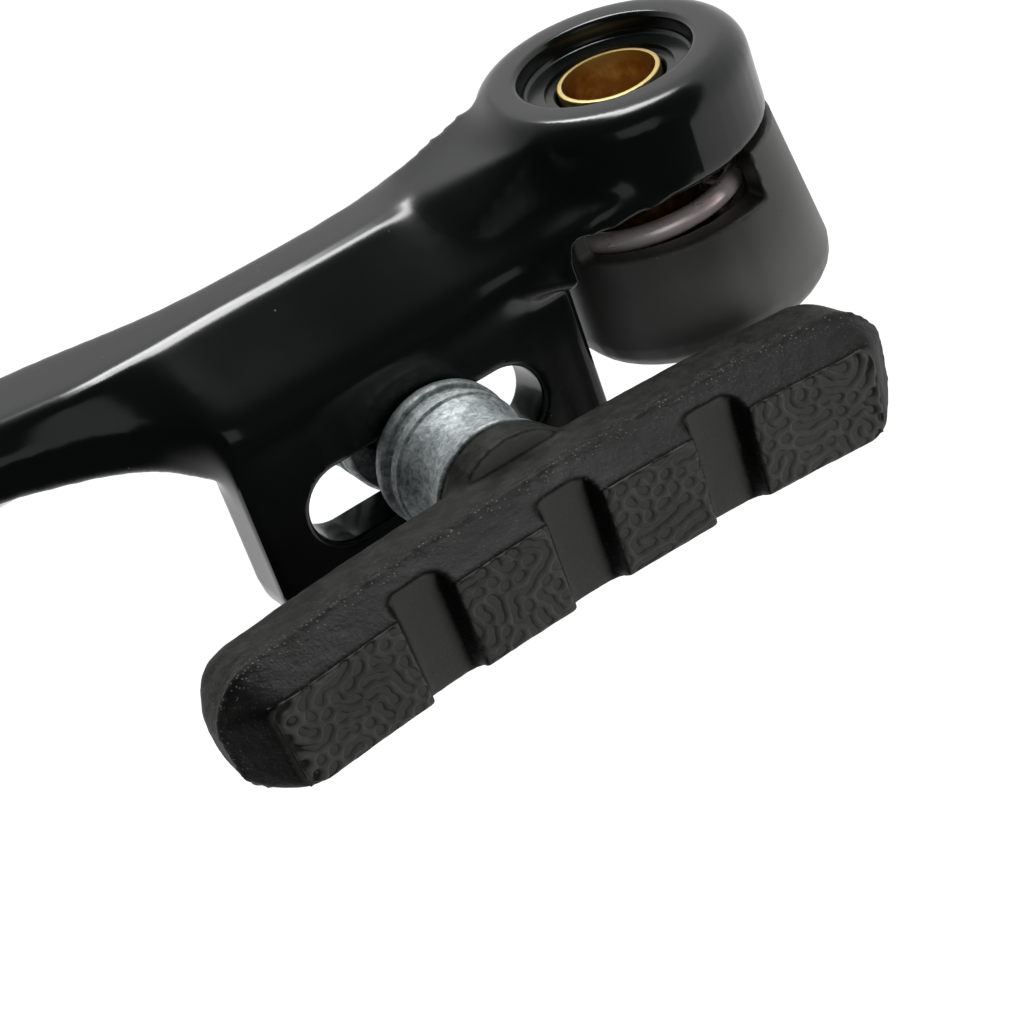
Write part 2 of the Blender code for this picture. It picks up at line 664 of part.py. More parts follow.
def make_housing():
    bend = [-HOUSING_BACK_ROUND * (1 - math.sin(math.radians(a))) for a in (0, 25, 45, 62, 78, 90)]
    depths = [HOUSING_RIM, 0.5 * (HOUSING_RIM - HOUSING_BACK_ROUND), *bend]
    housing = loft("spring_housing", [housing_ring(y) for y in depths])
    screw_boss = rod("screw boss", SCREW_BOSS_R, (2 * MM, SCREW_Y, SCREW_Z),
                     (SCREW_BOSS_END, SCREW_Y, SCREW_Z), 28)
    join(housing, add_tool(screw_boss))
    past = 5 * MM
    before_rim = HOUSING_RIM - past
    wire_room = WIRE_R + 2 * GAP
    hook_foot = -COIL_R - WIRE_R - HOOK_REACH + HOOK_IN_POCKET
    pin_hole_r = STOP_PIN_R + GAP
    tools = [
        rod("coil room", CAVITY_R, (0, before_rim, 0), (0, -HOUSING_FLOOR, 0), FINE_STEPS),
        rod("bush hole", BUSH_R + GAP, (0, -past, 0), (0, past, 0), TURN_STEPS),
        block("window", (-FAR, before_rim, -WINDOW_FOOT), (-WINDOW_INNER_X, behind_lip(WINDOW_DEPTH), FAR)),
        block("leg slot", (COIL_R - wire_room - LEG_SLOT_EXTRA, before_rim, LEG_SLOT_FOOT),
              (COIL_R + wire_room, behind_lip(LEG_DEPTH) + wire_room, FAR)),
        block("hook pocket", (-wire_room, SCREW_Y - wire_room, hook_foot),
              (wire_room + HOOK_BEND_ROOM, SCREW_Y + wire_room, -COIL_R + WIRE_R)),
        rod("screw hole", SCREW_R + GAP, (SCREW_HOLE_START, SCREW_Y, SCREW_Z), (FAR, SCREW_Y, SCREW_Z)),
        rod("stop pin hole", pin_hole_r, (STOP_PIN_X, -STOP_PIN_IN - GAP, 0), (STOP_PIN_X, past, 0), 16),
    ]
    for tool in tools:
        cut(housing, add_tool(tool))
    return add_part(housing, PLASTIC)


def make_stop_pin():
    """The pin that goes in the frame's spring hole."""
    chamfer = 0.3 * MM
    r = STOP_PIN_R
    profile = [(0, STOP_PIN_IN), (r, STOP_PIN_IN), (r, chamfer - STOP_PIN_OUT), (r - chamfer, -STOP_PIN_OUT),
               (0, -STOP_PIN_OUT)]
    return add_part(turned("stop_pin", profile, place=(STOP_PIN_X, 0, 0), steps=20), STEEL)


def make_tension_screw():
    """The screw that presses on the spring's hook."""
    tip = WIRE_R + GAP
    under_head = SCREW_BOSS_END + GAP
    top = under_head + SCREW_HEAD_T
    dome = 0.6 * MM
    head_r = SCREW_HEAD_R
    profile = [
        (0, top), (head_r * 0.6, top - 0.1 * MM), (head_r, top - dome), (head_r, under_head),
        (SCREW_R, under_head), (SCREW_R, tip + dome), (SCREW_R - dome, tip), (0, tip),
    ]
    screw = turned("tension_screw", profile, turn=TO_FAR, place=(0, SCREW_Y, SCREW_Z), steps=28)
    reach = SCREW_HEAD_R + 1 * MM
    half = SCREW_SLOT_W / 2
    slot = block("screwdriver slot", (top - SCREW_SLOT_DEPTH, SCREW_Y - half, SCREW_Z - reach),
                 (top + 1 * MM, SCREW_Y + half, SCREW_Z + reach))
    cut(screw, add_tool(slot))
    return add_part(screw, STEEL)


def leg_point(z):
    """The middle of the spring's long leg at a height: out of the coil, then along the bar's back."""
    lean = LEG_LEAN * z / LEG_TOP
    rise = smooth_value([(0, 0), (11 * MM, 1)], z)
    sleeve_room = smooth_value([(SLEEVE_FOOT - 5 * MM, 0), (SLEEVE_FOOT, SLEEVE_WALL + GAP)], z)
    along_bar = bar_back(z) + LEG_TO_BAR + WIRE_R + sleeve_room
    depth = COIL_FRONT_DEPTH + rise * (along_bar - COIL_FRONT_DEPTH)
    return Vector((COIL_R - lean, behind_lip(depth), z))


def make_spring():
    """Hook, coil and long leg in one wire."""
    start = -90
    end = start + 360 * COIL_TURNS
    steps = round((end - start) / COIL_STEP_DEG)
    coil = []
    for i in range(steps + 1):
        share = i / steps
        angle = math.radians(start + share * (end - start))
        depth = COIL_BACK_DEPTH + share * (COIL_FRONT_DEPTH - COIL_BACK_DEPTH)
        coil.append((COIL_R * math.cos(angle), behind_lip(depth), COIL_R * math.sin(angle)))
    hook = [
        (0, SCREW_Y, -COIL_R - HOOK_REACH),
        (0, SCREW_Y, -COIL_R - 0.9 * WIRE_R),
        (0.35 * WIRE_R, SCREW_Y, -COIL_R - 0.2 * WIRE_R),
    ]
    bends = [z * MM for z in (2, 3.5, 5, 6.5, 8, 9.5, 11, 14, 26)]
    bends += [FLANGE_HEAD + step * MM for step in (-6, -3, 0, 3, 6, 9, 12, 15)]
    bends += [SLEEVE_FOOT - 2.5 * MM, SLEEVE_FOOT, LEG_TOP]
    leg = [leg_point(z) for z in bends]
    points = hook + coil[1:] + leg
    return add_part(wire("return_spring", points, WIRE_R), SPRING_STEEL, PIVOT)


def pin_x():
    """The spring pin stands beside the sleeve on the spring's leg."""
    return leg_point(PIN_Z).x + WIRE_R + GAP + SLEEVE_WALL + GAP + PIN_R


def pin_foot():
    """The Y at which the spring pin ends inside the arm."""
    return behind_lip(bar_back(PIN_Z)) - PIN_IN_ARM


def make_sleeve():
    """The plastic sleeve on the spring's leg."""
    low = leg_point(SLEEVE_FOOT)
    high = leg_point(SLEEVE_HEAD)
    length = (high - low).length
    inner = WIRE_R + GAP
    outer = inner + SLEEVE_WALL
    profile = [(inner, length), (outer, length), (outer, 0), (inner, 0)]
    lean = (high - low).to_track_quat("Z", "Y").to_matrix().to_4x4()
    return add_part(turned("spring_sleeve", profile, turn=lean, place=low, steps=20), PLASTIC, PIVOT)


def make_spring_pin():
    """The headed pin on the arm's back that the leg presses on."""
    sleeve_back = leg_point(PIN_Z).y + WIRE_R + GAP + SLEEVE_WALL
    head = sleeve_back + GAP
    length = head - pin_foot()
    top = -length - PIN_HEAD_T
    profile = [(0, 0), (PIN_R, 0), (PIN_R, -length), (PIN_HEAD_R, -length), (PIN_HEAD_R, top), (0, top)]
    pin = turned("spring_pin", profile, place=(pin_x(), pin_foot(), PIN_Z), steps=24)
    return add_part(pin, STEEL, PIVOT)


def make_anchor_washer():
    """The clamp washer: a disc with a cable groove below it and a lug over the arm's edge."""
    face = behind_lip(TIP_FRONT_DEPTH) - GAP
    front = face - ANCHOR_WASHER_T
    hole = ANCHOR_THREAD_R + GAP
    chamfer = 0.3 * MM
    t = ANCHOR_WASHER_T
    r = ANCHOR_WASHER_R
    profile = [(hole, t), (r - chamfer, t), (r, t - chamfer), (r, 0), (hole, 0)]
    washer = turned("cable_anchor_washer", profile, place=(ANCHOR_X, face, ARM_LENGTH), steps=TURN_STEPS)
    lug_z = ARM_LENGTH + TIP_R + GAP
    lug_front = front + LUG_SET_BACK
    low_x = ANCHOR_X - LUG_W / 2
    high_x = ANCHOR_X + LUG_W / 2
    lug = block("lug", (low_x, lug_front, lug_z), (high_x, face + LUG_REACH, lug_z + LUG_T))
    web = block("lug web", (low_x, lug_front, lug_z - LUG_WEB_IN), (high_x, face, lug_z + LUG_T / 3))
    for form in (lug, web):
        join(washer, add_tool(form))
    groove_z = ARM_LENGTH - ANCHOR_THREAD_R - CABLE_GROOVE_R - 2 * GAP
    groove = rod("cable groove", CABLE_GROOVE_R, (-FAR, face, groove_z), (FAR, face, groove_z), 16)
    cut(washer, add_tool(groove))
    return add_part(washer, STEEL, PIVOT)


def hex_outline(across_flats):
    r = across_flats / math.sqrt(3)
    return [(r * math.cos(math.radians(60 * i)), r * math.sin(math.radians(60 * i))) for i in range(6)]


def make_anchor_bolt():
    face = behind_lip(TIP_FRONT_DEPTH) - 2 * GAP - ANCHOR_WASHER_T
    shank = TIP_BACK_DEPTH - TIP_FRONT_DEPTH + ANCHOR_WASHER_T + 2 * GAP + ANCHOR_THREAD_OUT
    h = ANCHOR_HEAD_H
    edge = 0.5 * MM
    r = ANCHOR_HEAD_R
    profile = [(0, h), (r - edge, h), (r, h - edge), (r, 0), (ANCHOR_THREAD_R, 0),
               (ANCHOR_THREAD_R, edge - shank), (ANCHOR_THREAD_R - edge, -shank), (0, -shank)]
    bolt = turned("cable_anchor_bolt", profile, place=(ANCHOR_X, face, ARM_LENGTH), steps=TURN_STEPS)
    outline = [(ANCHOR_X + u, ARM_LENGTH + v) for u, v in hex_outline(ANCHOR_KEY_AF)]
    top = face - ANCHOR_HEAD_H
    key = plate("key socket", outline, 2 * ANCHOR_KEY_DEPTH, (0, top, 0), axis="Y")
    cut(bolt, add_tool(key))
    return add_part(bolt, STEEL, PIVOT)


def ball_arc(radius, rim_r, hole_r, steps):
    """Points (radius, height) on a ball about the flange's middle, from its rim to its hole."""
    rim = math.degrees(math.acos(rim_r / radius))
    hole = math.degrees(math.acos(hole_r / radius))
    return arc((0, 0), radius, rim, hole, steps)


def make_convex_washer(name, turn, radius, shoulder_r):
    """A washer flat on the flange, with a ball face away from it."""
    foot = CONVEX_FOOT
    edge = 0.25 * MM
    ball = ball_arc(BALL_R, shoulder_r, CONVEX_HOLE_R, 5)
    rim_top = ball[0][1]
    profile = [*ball[::-1], (radius - edge, rim_top), (radius, rim_top - edge), (radius, foot + edge),
               (radius - edge, foot), (CONVEX_HOLE_R, foot)]
    return turned(name, profile, turn=turn, steps=TURN_STEPS)


def make_cup_washer(name, turn, radius, rim_r, top, waist_r):
    """A washer with a hollow ball face, its flat side away from the flange."""
    hole_r = STUD_R + GAP
    ball = ball_arc(CUP_BALL_R, rim_r, hole_r, 5)
    rim_h = ball[0][1]
    edge = 0.3 * MM
    side_foot = rim_h + edge
    side_top = top - edge
    waist = []
    for i in range(1, 6):
        share = i / 6
        dip = (radius - waist_r) * math.sin(math.pi * share)
        waist.append((radius - dip, side_top + share * (side_foot - side_top)))
    profile = [(hole_r, top), (radius - edge, top), (radius, side_top), *waist, (radius, side_foot),
               (radius - edge, rim_h), *ball]
    return turned(name, profile, turn=turn, steps=TURN_STEPS)


def make_washers():
    near = make_convex_washer("convex_washer_pad_side", TO_PAD, CONVEX_R, CONVEX_SHOULDER_R)
    far_r = FAR_WASHER_R
    far = make_convex_washer("convex_washer_far_side", TO_FAR, far_r, far_r - 0.5 * MM)
    near_cup = make_cup_washer("cup_washer_pad_side", TO_PAD, CUP_R, CUP_RIM_R, CUP_LONG_TOP, CUP_WAIST_R)
    far_cup = make_cup_washer("cup_washer_far_side", TO_FAR, far_r, far_r - 0.9 * MM, CUP_SHORT_TOP,
                              far_r - 0.2 * MM)
    hole = STUD_R + GAP
    foot = FLAT_WASHER_FOOT
    top = foot + FLAT_WASHER_T
    profile = [(hole, top), (FLAT_WASHER_R, top), (FLAT_WASHER_R, foot), (hole, foot)]
    flat = turned("flat_washer", profile, turn=TO_FAR, steps=TURN_STEPS)
    for washer in (near, far, near_cup, far_cup, flat):
        add_part(washer, make_material(washer.name + " zinc", (0.25, 0.27, 0.275), 0.5, 0.85), PAD_PIVOT)


def make_nut():
    """A hexagon nut, its corners turned off at both ends."""
    corner_r = NUT_AF / math.sqrt(3)
    flat_r = NUT_AF / 2 - 0.1 * MM
    slope = (corner_r - flat_r) * math.tan(math.radians(30))
    foot = NUT_FOOT
    top = NUT_FOOT + NUT_T
    hole = STUD_R + GAP
    profile = [(hole, top), (flat_r, top), (corner_r, top - slope), (corner_r, foot + slope),
               (flat_r, foot), (hole, foot)]
    nut = turned("pad_nut", profile, turn=TO_FAR)
    outline = [(v, u) for u, v in hex_outline(NUT_AF)]
    hexagon = plate("nut hexagon", outline, 2 * NUT_T, (NUT_FOOT + NUT_T / 2, 0, 0))
    combine(nut, add_tool(hexagon), "INTERSECT")
    return add_part(nut, STEEL, PAD_PIVOT)


def stud_span():
    """Where the stud's head and its outer end lie, as heights towards the pad."""
    return PAD_BACK + STUD_HEAD_IN, -(NUT_FOOT + NUT_T + STUD_OUT)


def make_stud():
    """The threaded stud, its head held inside the rubber."""
    foot, end = stud_span()
    top = foot + STUD_HEAD_T
    edge = 0.5 * MM
    head_r = STUD_HEAD_R
    profile = [(0, top), (head_r - edge, top), (head_r, top - edge), (head_r, foot), (STUD_R, foot),
               (STUD_R, end + edge), (STUD_R - edge, end), (0, end)]
    return add_part(turned("pad_stud", profile, turn=TO_PAD), STEEL, PAD_PIVOT)


def pad_place(along, out, across):
    """A point of the pad: along it, out from the stud's middle towards the wheel, and across it."""
    bend = along**2 / (2 * PAD_R)
    return (-out, PAD_OFF_STUD + across + bend, along * (1 - across / PAD_R))


def pad_ring(along, shrink, face_in, back_in):
    """The pad's six-sided section, smaller near its ends."""
    back = PAD_BACK + back_in
    face = PAD_BACK + PAD_THICKNESS - face_in
    seam = PAD_BACK + PAD_THICKNESS - PAD_SEAM_DEPTH - shrink * 0.1
    corners = [
        (face, -PAD_FACE_HALF + shrink * 0.4, 0.4 * MM, 2),
        (face, PAD_FACE_HALF - shrink * 0.4, 0.4 * MM, 2),
        (seam, PAD_SEAM_HALF - shrink, 0.4 * MM, 2),
        (back, PAD_BACK_HALF - shrink * 0.8, 1.2 * MM, 3),
        (back, -PAD_BACK_HALF + shrink * 0.8, 1.2 * MM, 3),
        (seam, -PAD_SEAM_HALF + shrink, 0.4 * MM, 2),
    ]
    return [pad_place(along, out, across) for out, across in rounded(corners)]


def pad_rings():
    """Sections along the pad: full in the middle, drawn in over the nose at each end."""
    half = PAD_FACE_HALF_LENGTH
    body = half - 1.5 * MM
    # Share of the nose, then how far the sides, the face and the back draw in there, in millimetres
    nose = [
        (0, 0.3, 0.3, 0.1), (0.3, 0.8, 1.4, 0.5), (0.6, 1.6, 2.7, 1.4), (0.85, 2.7, 3.8, 2.5),
        (1, 3.9, 4.5, 3.6),
    ]
    drops = [(share * PAD_NOSE, sides * MM, face * MM, back * MM) for share, sides, face, back in nose]
    rings = [pad_ring(-half - out, *drop) for out, *drop in reversed(drops)]
    rings += [pad_ring(body * k / 5, 0, 0, 0) for k in range(-5, 6)]
    rings += [pad_ring(half + out, *drop) for out, *drop in drops]
    return rings


def make_pad():
    pad = loft("pad_block", pad_rings())
    boss_top = PAD_BACK - PAD_BOSS_H
    boss_foot = PAD_BACK + PAD_BOSS_H
    edge = 0.6 * MM
    boss = [(0, boss_top), (PAD_BOSS_R - edge, boss_top), (PAD_BOSS_R, boss_top + edge),
            (PAD_BOSS_R + 0.4 * MM, boss_foot), (0, boss_foot)]
    join(pad, add_tool(turned("pad boss", boss, turn=TO_PAD)))
    foot = stud_span()[0] - GAP
    top = foot + STUD_HEAD_T + 2 * GAP
    hole = STUD_R + GAP
    pocket = STUD_HEAD_R + GAP
    mouth = boss_top - PAD_BOSS_H
    room = [(0, top), (pocket, top), (pocket, foot), (hole, foot), (hole, mouth), (0, mouth)]
    cut(pad, add_tool(turned("stud room", room, turn=TO_PAD)))
    step = INNER_BLOCK + GROOVE_W
    for i in range(3):
        cut(pad, add_tool(groove_cutter(f"groove {i + 1}", (i - 1) * step)))
    return add_part(pad, RUBBER, PAD_PIVOT)


def groove_cutter(name, middle):
    """A groove right across the face, its floor rounded into its walls."""
    top = PAD_BACK + PAD_THICKNESS + GROOVE_DEPTH
    floor = PAD_BACK + PAD_THICKNESS - GROOVE_DEPTH
    half = GROOVE_W / 2
    reach = PAD_SEAM_HALF * 1.6
    corners = rounded([(floor, middle - half, GROOVE_FLOOR_R, 4), (floor, middle + half, GROOVE_FLOOR_R, 4),
                       (top, middle + half, GAP / 3, 1), (top, middle - half, GAP / 3, 1)])
    rings = [[pad_place(along, out, across) for out, along in corners] for across in (-reach, 0, reach)]
    return loft(name, rings)


make_bush()
make_housing()
make_stop_pin()
make_tension_screw()
make_arm()
make_spring()
make_sleeve()
make_spring_pin()
make_anchor_washer()
make_anchor_bolt()
make_washers()
make_nut()
make_stud()
make_pad()
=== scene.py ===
"""One V-brake arm with its pad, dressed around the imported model: forged, painted, moulded and plated."""
import json
import math

import bmesh
import bpy
import numpy as np
from mathutils import Euler, Matrix, Vector, noise


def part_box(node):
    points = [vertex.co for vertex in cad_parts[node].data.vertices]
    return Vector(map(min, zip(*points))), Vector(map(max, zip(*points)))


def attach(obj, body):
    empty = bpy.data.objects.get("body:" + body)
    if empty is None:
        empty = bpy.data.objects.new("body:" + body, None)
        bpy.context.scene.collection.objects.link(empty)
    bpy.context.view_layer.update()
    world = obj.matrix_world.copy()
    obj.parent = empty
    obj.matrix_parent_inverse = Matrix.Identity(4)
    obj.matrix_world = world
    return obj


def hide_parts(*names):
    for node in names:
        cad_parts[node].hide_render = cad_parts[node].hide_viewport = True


MM = 0.001

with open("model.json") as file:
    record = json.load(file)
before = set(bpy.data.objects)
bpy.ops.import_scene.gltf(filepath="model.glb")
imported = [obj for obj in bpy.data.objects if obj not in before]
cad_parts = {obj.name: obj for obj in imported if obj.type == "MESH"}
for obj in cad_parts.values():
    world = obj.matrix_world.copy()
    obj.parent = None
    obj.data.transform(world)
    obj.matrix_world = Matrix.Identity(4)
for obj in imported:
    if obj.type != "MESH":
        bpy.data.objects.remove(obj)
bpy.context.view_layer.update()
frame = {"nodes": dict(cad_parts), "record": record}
BODY_OF = {node: body for body, nodes in frame["record"]["behaviour"]["bodies"].items() for node in nodes}

# Places read from the frame
BUSH_LOW, BUSH_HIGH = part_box("pivot_bush")
STUD_LOW, STUD_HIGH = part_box("pad_stud")
PIN_LOW, PIN_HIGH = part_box("spring_pin")
BOLT_LOW, BOLT_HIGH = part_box("cable_anchor_bolt")
HOUSING_LOW, HOUSING_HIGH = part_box("spring_housing")
LIP_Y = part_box("arm")[0].y
PAD_FACE_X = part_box("pad_block")[0].x
STUD_Y = (STUD_LOW.y + STUD_HIGH.y) / 2
STUD_Z = (STUD_LOW.z + STUD_HIGH.z) / 2
PIN_X = (PIN_LOW.x + PIN_HIGH.x) / 2
PIN_Z = (PIN_LOW.z + PIN_HIGH.z) / 2
ANCHOR_X = (BOLT_LOW.x + BOLT_HIGH.x) / 2
ANCHOR_Z = (BOLT_LOW.z + BOLT_HIGH.z) / 2

# Eye, flange and holes of the arm
ARM_SKIN_STEP = 0.45 * MM
COUNTERBORE_R = 7.7 * MM
COUNTERBORE_DEPTH = 1.95 * MM
COUNTERBORE_FLOOR_R = 0.5 * MM
BUSH_HOLE_R = BUSH_HIGH.x + 0.3 * MM
EYE_DEPTH = 8.7 * MM
LIP_EDGE_R = 0.55 * MM
SLOT_HALF_W = 3.55 * MM
SLOT_FOOT = 17.6 * MM
SLOT_HEAD = 41.1 * MM
SLOT_EDGE_R = 0.6 * MM
FLANGE_X = (-6.0 * MM, -0.6 * MM)
FLANGE_MIDDLE_X = (FLANGE_X[0] + FLANGE_X[1]) / 2
ANCHOR_HOLE_R = 3.3 * MM
PIN_HOLE_R = 1.9 * MM
PIN_HOLE_FOOT = PIN_LOW.y - 0.3 * MM
PIN_HOLE_END = 20 * MM
PAST_ARM = 60 * MM

# Bar of the arm: its saddle beside the eye, its ridge and its shoulder
SADDLE = (0.0, LIP_Y + 4 * MM, 15 * MM)
BAR_FOOT = 9 * MM
RIDGE_Y = LIP_Y + 4.3 * MM
SHOULDER_Y = LIP_Y + 10.6 * MM
SHOULDER_HEAD = 56 * MM

# Spring, whose leg bows away behind the bar's eased edge
WIRE_SWELL = 0.07 * MM
LEG_BOW = 0.9 * MM
LEG_BOW_Z = 57 * MM
LEG_BOW_REACH = 6 * MM

# Spring housing
HOUSING_SKIN_STEP = 0.24 * MM
HOUSING_TURNING_R = 18.5 * MM
HOUSING_SIDE = 12.0 * MM
HOUSING_TOP = 10.8 * MM
HOUSING_FOOT = 12.0 * MM
HOUSING_FLARE = 1.5 * MM
HOUSING_TOP_CORNER_R = 10.8 * MM
HOUSING_FOOT_CORNER_R = 11.2 * MM
HOUSING_BACK_ROUND = 2.6 * MM

# Pad
PAD_SKIN_STEP = 0.25 * MM
PAD_BEND_R = 283.0 * MM
PAD_OFF_STUD = 0.7 * MM
PAD_FACE_HALF = 4.15 * MM
PAD_SEAM_X = PAD_FACE_X + 4.6 * MM
OUTER_BLOCK = 12.3 * MM
INNER_BLOCK = 9.1 * MM
GROOVE_W = 5.1 * MM
PAD_HALF_LONG = INNER_BLOCK + 1.5 * GROOVE_W + OUTER_BLOCK

# Marked skins of the braking blocks
SKIN_GRID = 0.1 * MM
SKIN_INSET = 0.12 * MM
SKIN_RISE = 0.2 * MM
SKIN_RIM_W = 0.45 * MM
SKIN_RIM_DROP = 0.14 * MM
SKIN_SUNK = 0.7 * MM
SKIN_CORNER_R = 0.8 * MM
SKIN_END_CORNER_R = 1.7 * MM
MARK_SPACING = 1.25 * MM
MARK_SOFTNESS = 0.5 * MM
MARK_DEPTH = 0.36 * MM

# Washers, stud and cable bolt
BALL_R = 7.5 * MM
CUP_R = 7.8 * MM
BALL_WASHER_HOLE_R = 4.0 * MM
CUP_WASHER_HOLE_R = 3.3 * MM
M6_R = 3.0 * MM
THREAD_PITCH = 1.0 * MM

# Where the lamps look
LIT_MIDDLE = Vector((-0.008, -0.008, 0.03))


class Value:
    """A socket of a node tree. Sums, differences and products of it add Math nodes."""

    def __init__(self, graph, socket):
        self.graph = graph
        self.socket = socket

    def math(self, operation, *others):
        inputs = dict(enumerate((self, *others)))
        return self.graph.node("Math", {"operation": operation}, inputs)

    def __add__(self, other):
        return self.math("ADD", other)

    def __mul__(self, other):
        return self.math("MULTIPLY", other)

    def __sub__(self, other):
        return self.math("SUBTRACT", other)

    def __rsub__(self, other):
        return self.graph.node("Math", {"operation": "SUBTRACT"}, {0: other, 1: self})

    __radd__ = __add__
    __rmul__ = __mul__

    def rise(self, low, high):
        """From 0 at `low` to 1 at `high`, smooth, and level outside them."""
        settings = {"interpolation_type": "SMOOTHSTEP"}
        return self.graph.node("MapRange", settings, {"Value": self, "From Min": low, "From Max": high})


class Graph:
    """A node tree that shaders are written in."""

    def __init__(self, tree):
        self.tree = tree

    def feed(self, socket, value):
        if isinstance(value, Value):
            self.tree.links.new(value.socket, socket)
        else:
            socket.default_value = value

    def node(self, kind, settings=None, inputs=None, output=0):
        """Adds a node, its settings first and then its sockets, and gives one of its outputs."""
        made = self.tree.nodes.new("ShaderNode" + kind)
        for name, value in (settings or {}).items():
            if name == "stops":
                self.set_stops(made.color_ramp, value)
            else:
                setattr(made, name, value)
        for name, value in (inputs or {}).items():
            self.feed(made.inputs[name], value)
        return Value(self, made.outputs[output])

    def set_stops(self, ramp, stops):
        while len(ramp.elements) < len(stops):
            ramp.elements.new(1.0)
        for element, (place, color) in zip(ramp.elements, stops):
            element.position = place
            element.color = (*color, 1.0)

    def ramp(self, value, stops):
        return self.node("ValToRGB", {"stops": stops}, {"Fac": value})

    def blend(self, share, low, high):
        """A colour between two others."""
        colors = [c if isinstance(c, Value) else (*c, 1.0) for c in (low, high)]
        return self.node("Mix", {"data_type": "RGBA"}, {0: share, 6: colors[0], 7: colors[1]}, output=2)


class Finish(Graph):
    """A material for one kind of surface, on Object coordinates. It starts as one plain colour and gloss."""

    def __init__(self, name, color, roughness, metallic=0.0):
        self.material = bpy.data.materials.new(name)
        self.material.use_nodes = True
        super().__init__(self.material.node_tree)
        self.shader = self.tree.nodes["Principled BSDF"]
        self.place = self.node("TexCoord", output="Object")
        self.set("Base Color", (*color, 1.0))
        self.set("Roughness", roughness)
        self.set("Metallic", metallic)

    def set(self, socket, value):
        self.feed(self.shader.inputs[socket], value)

    def grain(self, size, detail=3.0, rough=0.5, warp=0.0, place=None):
        """Soft noise, from about 0.3 to 0.7, whose features are about `size` across."""
        inputs = {
            "Vector": place or self.place, "Scale": 1 / size, "Detail": detail, "Roughness": rough,
            "Distortion": warp,
        }
        return self.node("TexNoise", None, inputs)

    def stretched(self, along, across, axis):
        """Coordinates for a pattern that is drawn out along one axis."""
        scale = [1.0, 1.0, 1.0]
        scale["XYZ".index(axis)] = across / along
        return self.node("Mapping", None, {"Vector": self.place, "Scale": scale})

    def specks(self, spacing, radius, share):
        """Small round dots, one to each `spacing` or so, kept on a share of the surface."""
        cells = self.node("TexVoronoi", None, {"Vector": self.place, "Scale": 1 / spacing}, output="Distance")
        dots = 1 - cells.rise(0.5 * radius / spacing, radius / spacing)
        here = self.grain(3.1 * spacing, detail=1).rise(0.62 - 0.25 * share, 0.68 - 0.25 * share)
        return dots * here

    def axis(self, name):
        return self.node("SeparateXYZ", None, {"Vector": self.place}, output=name)

    def bump(self, height, depth):
        """Unevenness `depth` deep where the height goes from 0 to 1."""
        inputs = {"Height": height, "Distance": depth, "Strength": 1.0}
        self.set("Normal", self.node("Bump", None, inputs))


def gloss_paint():
    """Black paint over a forging: a little orange peel, a few specks of dust, and duller in the saddle."""
    black = (0.0038, 0.0048, 0.0044)
    made = Finish("gloss_black_paint", black, 0.2)
    dust = made.specks(2.6 * MM, 0.09 * MM, 0.35)
    cloud = made.grain(11 * MM, detail=4)
    made.set("Base Color", made.blend(dust, black, (0.09, 0.09, 0.08)))
    ends = {0: made.place, 1: SADDLE}
    off_saddle = made.node("VectorMath", {"operation": "DISTANCE"}, ends, output="Value")
    dull = 1 - off_saddle.rise(2 * MM, 8 * MM)
    made.set("Roughness", 0.12 + 0.13 * cloud + 0.3 * dust + 0.2 * dull)
    peel = made.grain(1.3 * MM, detail=2)
    swell = made.grain(6 * MM, detail=1)
    made.bump(0.35 * peel + swell + 0.3 * dust, 0.018 * MM)
    return made.material


def moulded_plastic():
    """Satin black nylon with a fine grain and specks of dust, and a painted sheen that makes it paler towards
    its back.
    """
    made = Finish("black_nylon", (0.04, 0.041, 0.038), 0.4)
    cloud = made.grain(7 * MM, detail=4)
    dust = made.specks(1.7 * MM, 0.07 * MM, 0.5)
    color = made.blend(cloud.rise(0.35, 0.7), (0.034, 0.035, 0.0325), (0.05, 0.051, 0.0475))
    # Painted sheen: the colour grows paler towards the back, standing in for the broad reflection of the
    # white room at grazing angles.
    painted_sheen_to_back = made.axis("Y").rise(HOUSING_LOW.y + 4 * MM, HOUSING_HIGH.y - 1 * MM)
    color = made.blend(painted_sheen_to_back, color, (0.12, 0.124, 0.116))
    made.set("Base Color", made.blend(dust, color, (0.16, 0.16, 0.15)))
    made.set("Roughness", 0.34 + 0.16 * cloud)
    fine = made.grain(0.16 * MM, detail=2)
    made.bump(fine + 0.8 * made.grain(2.2 * MM, detail=2), 0.006 * MM)
    return made.material


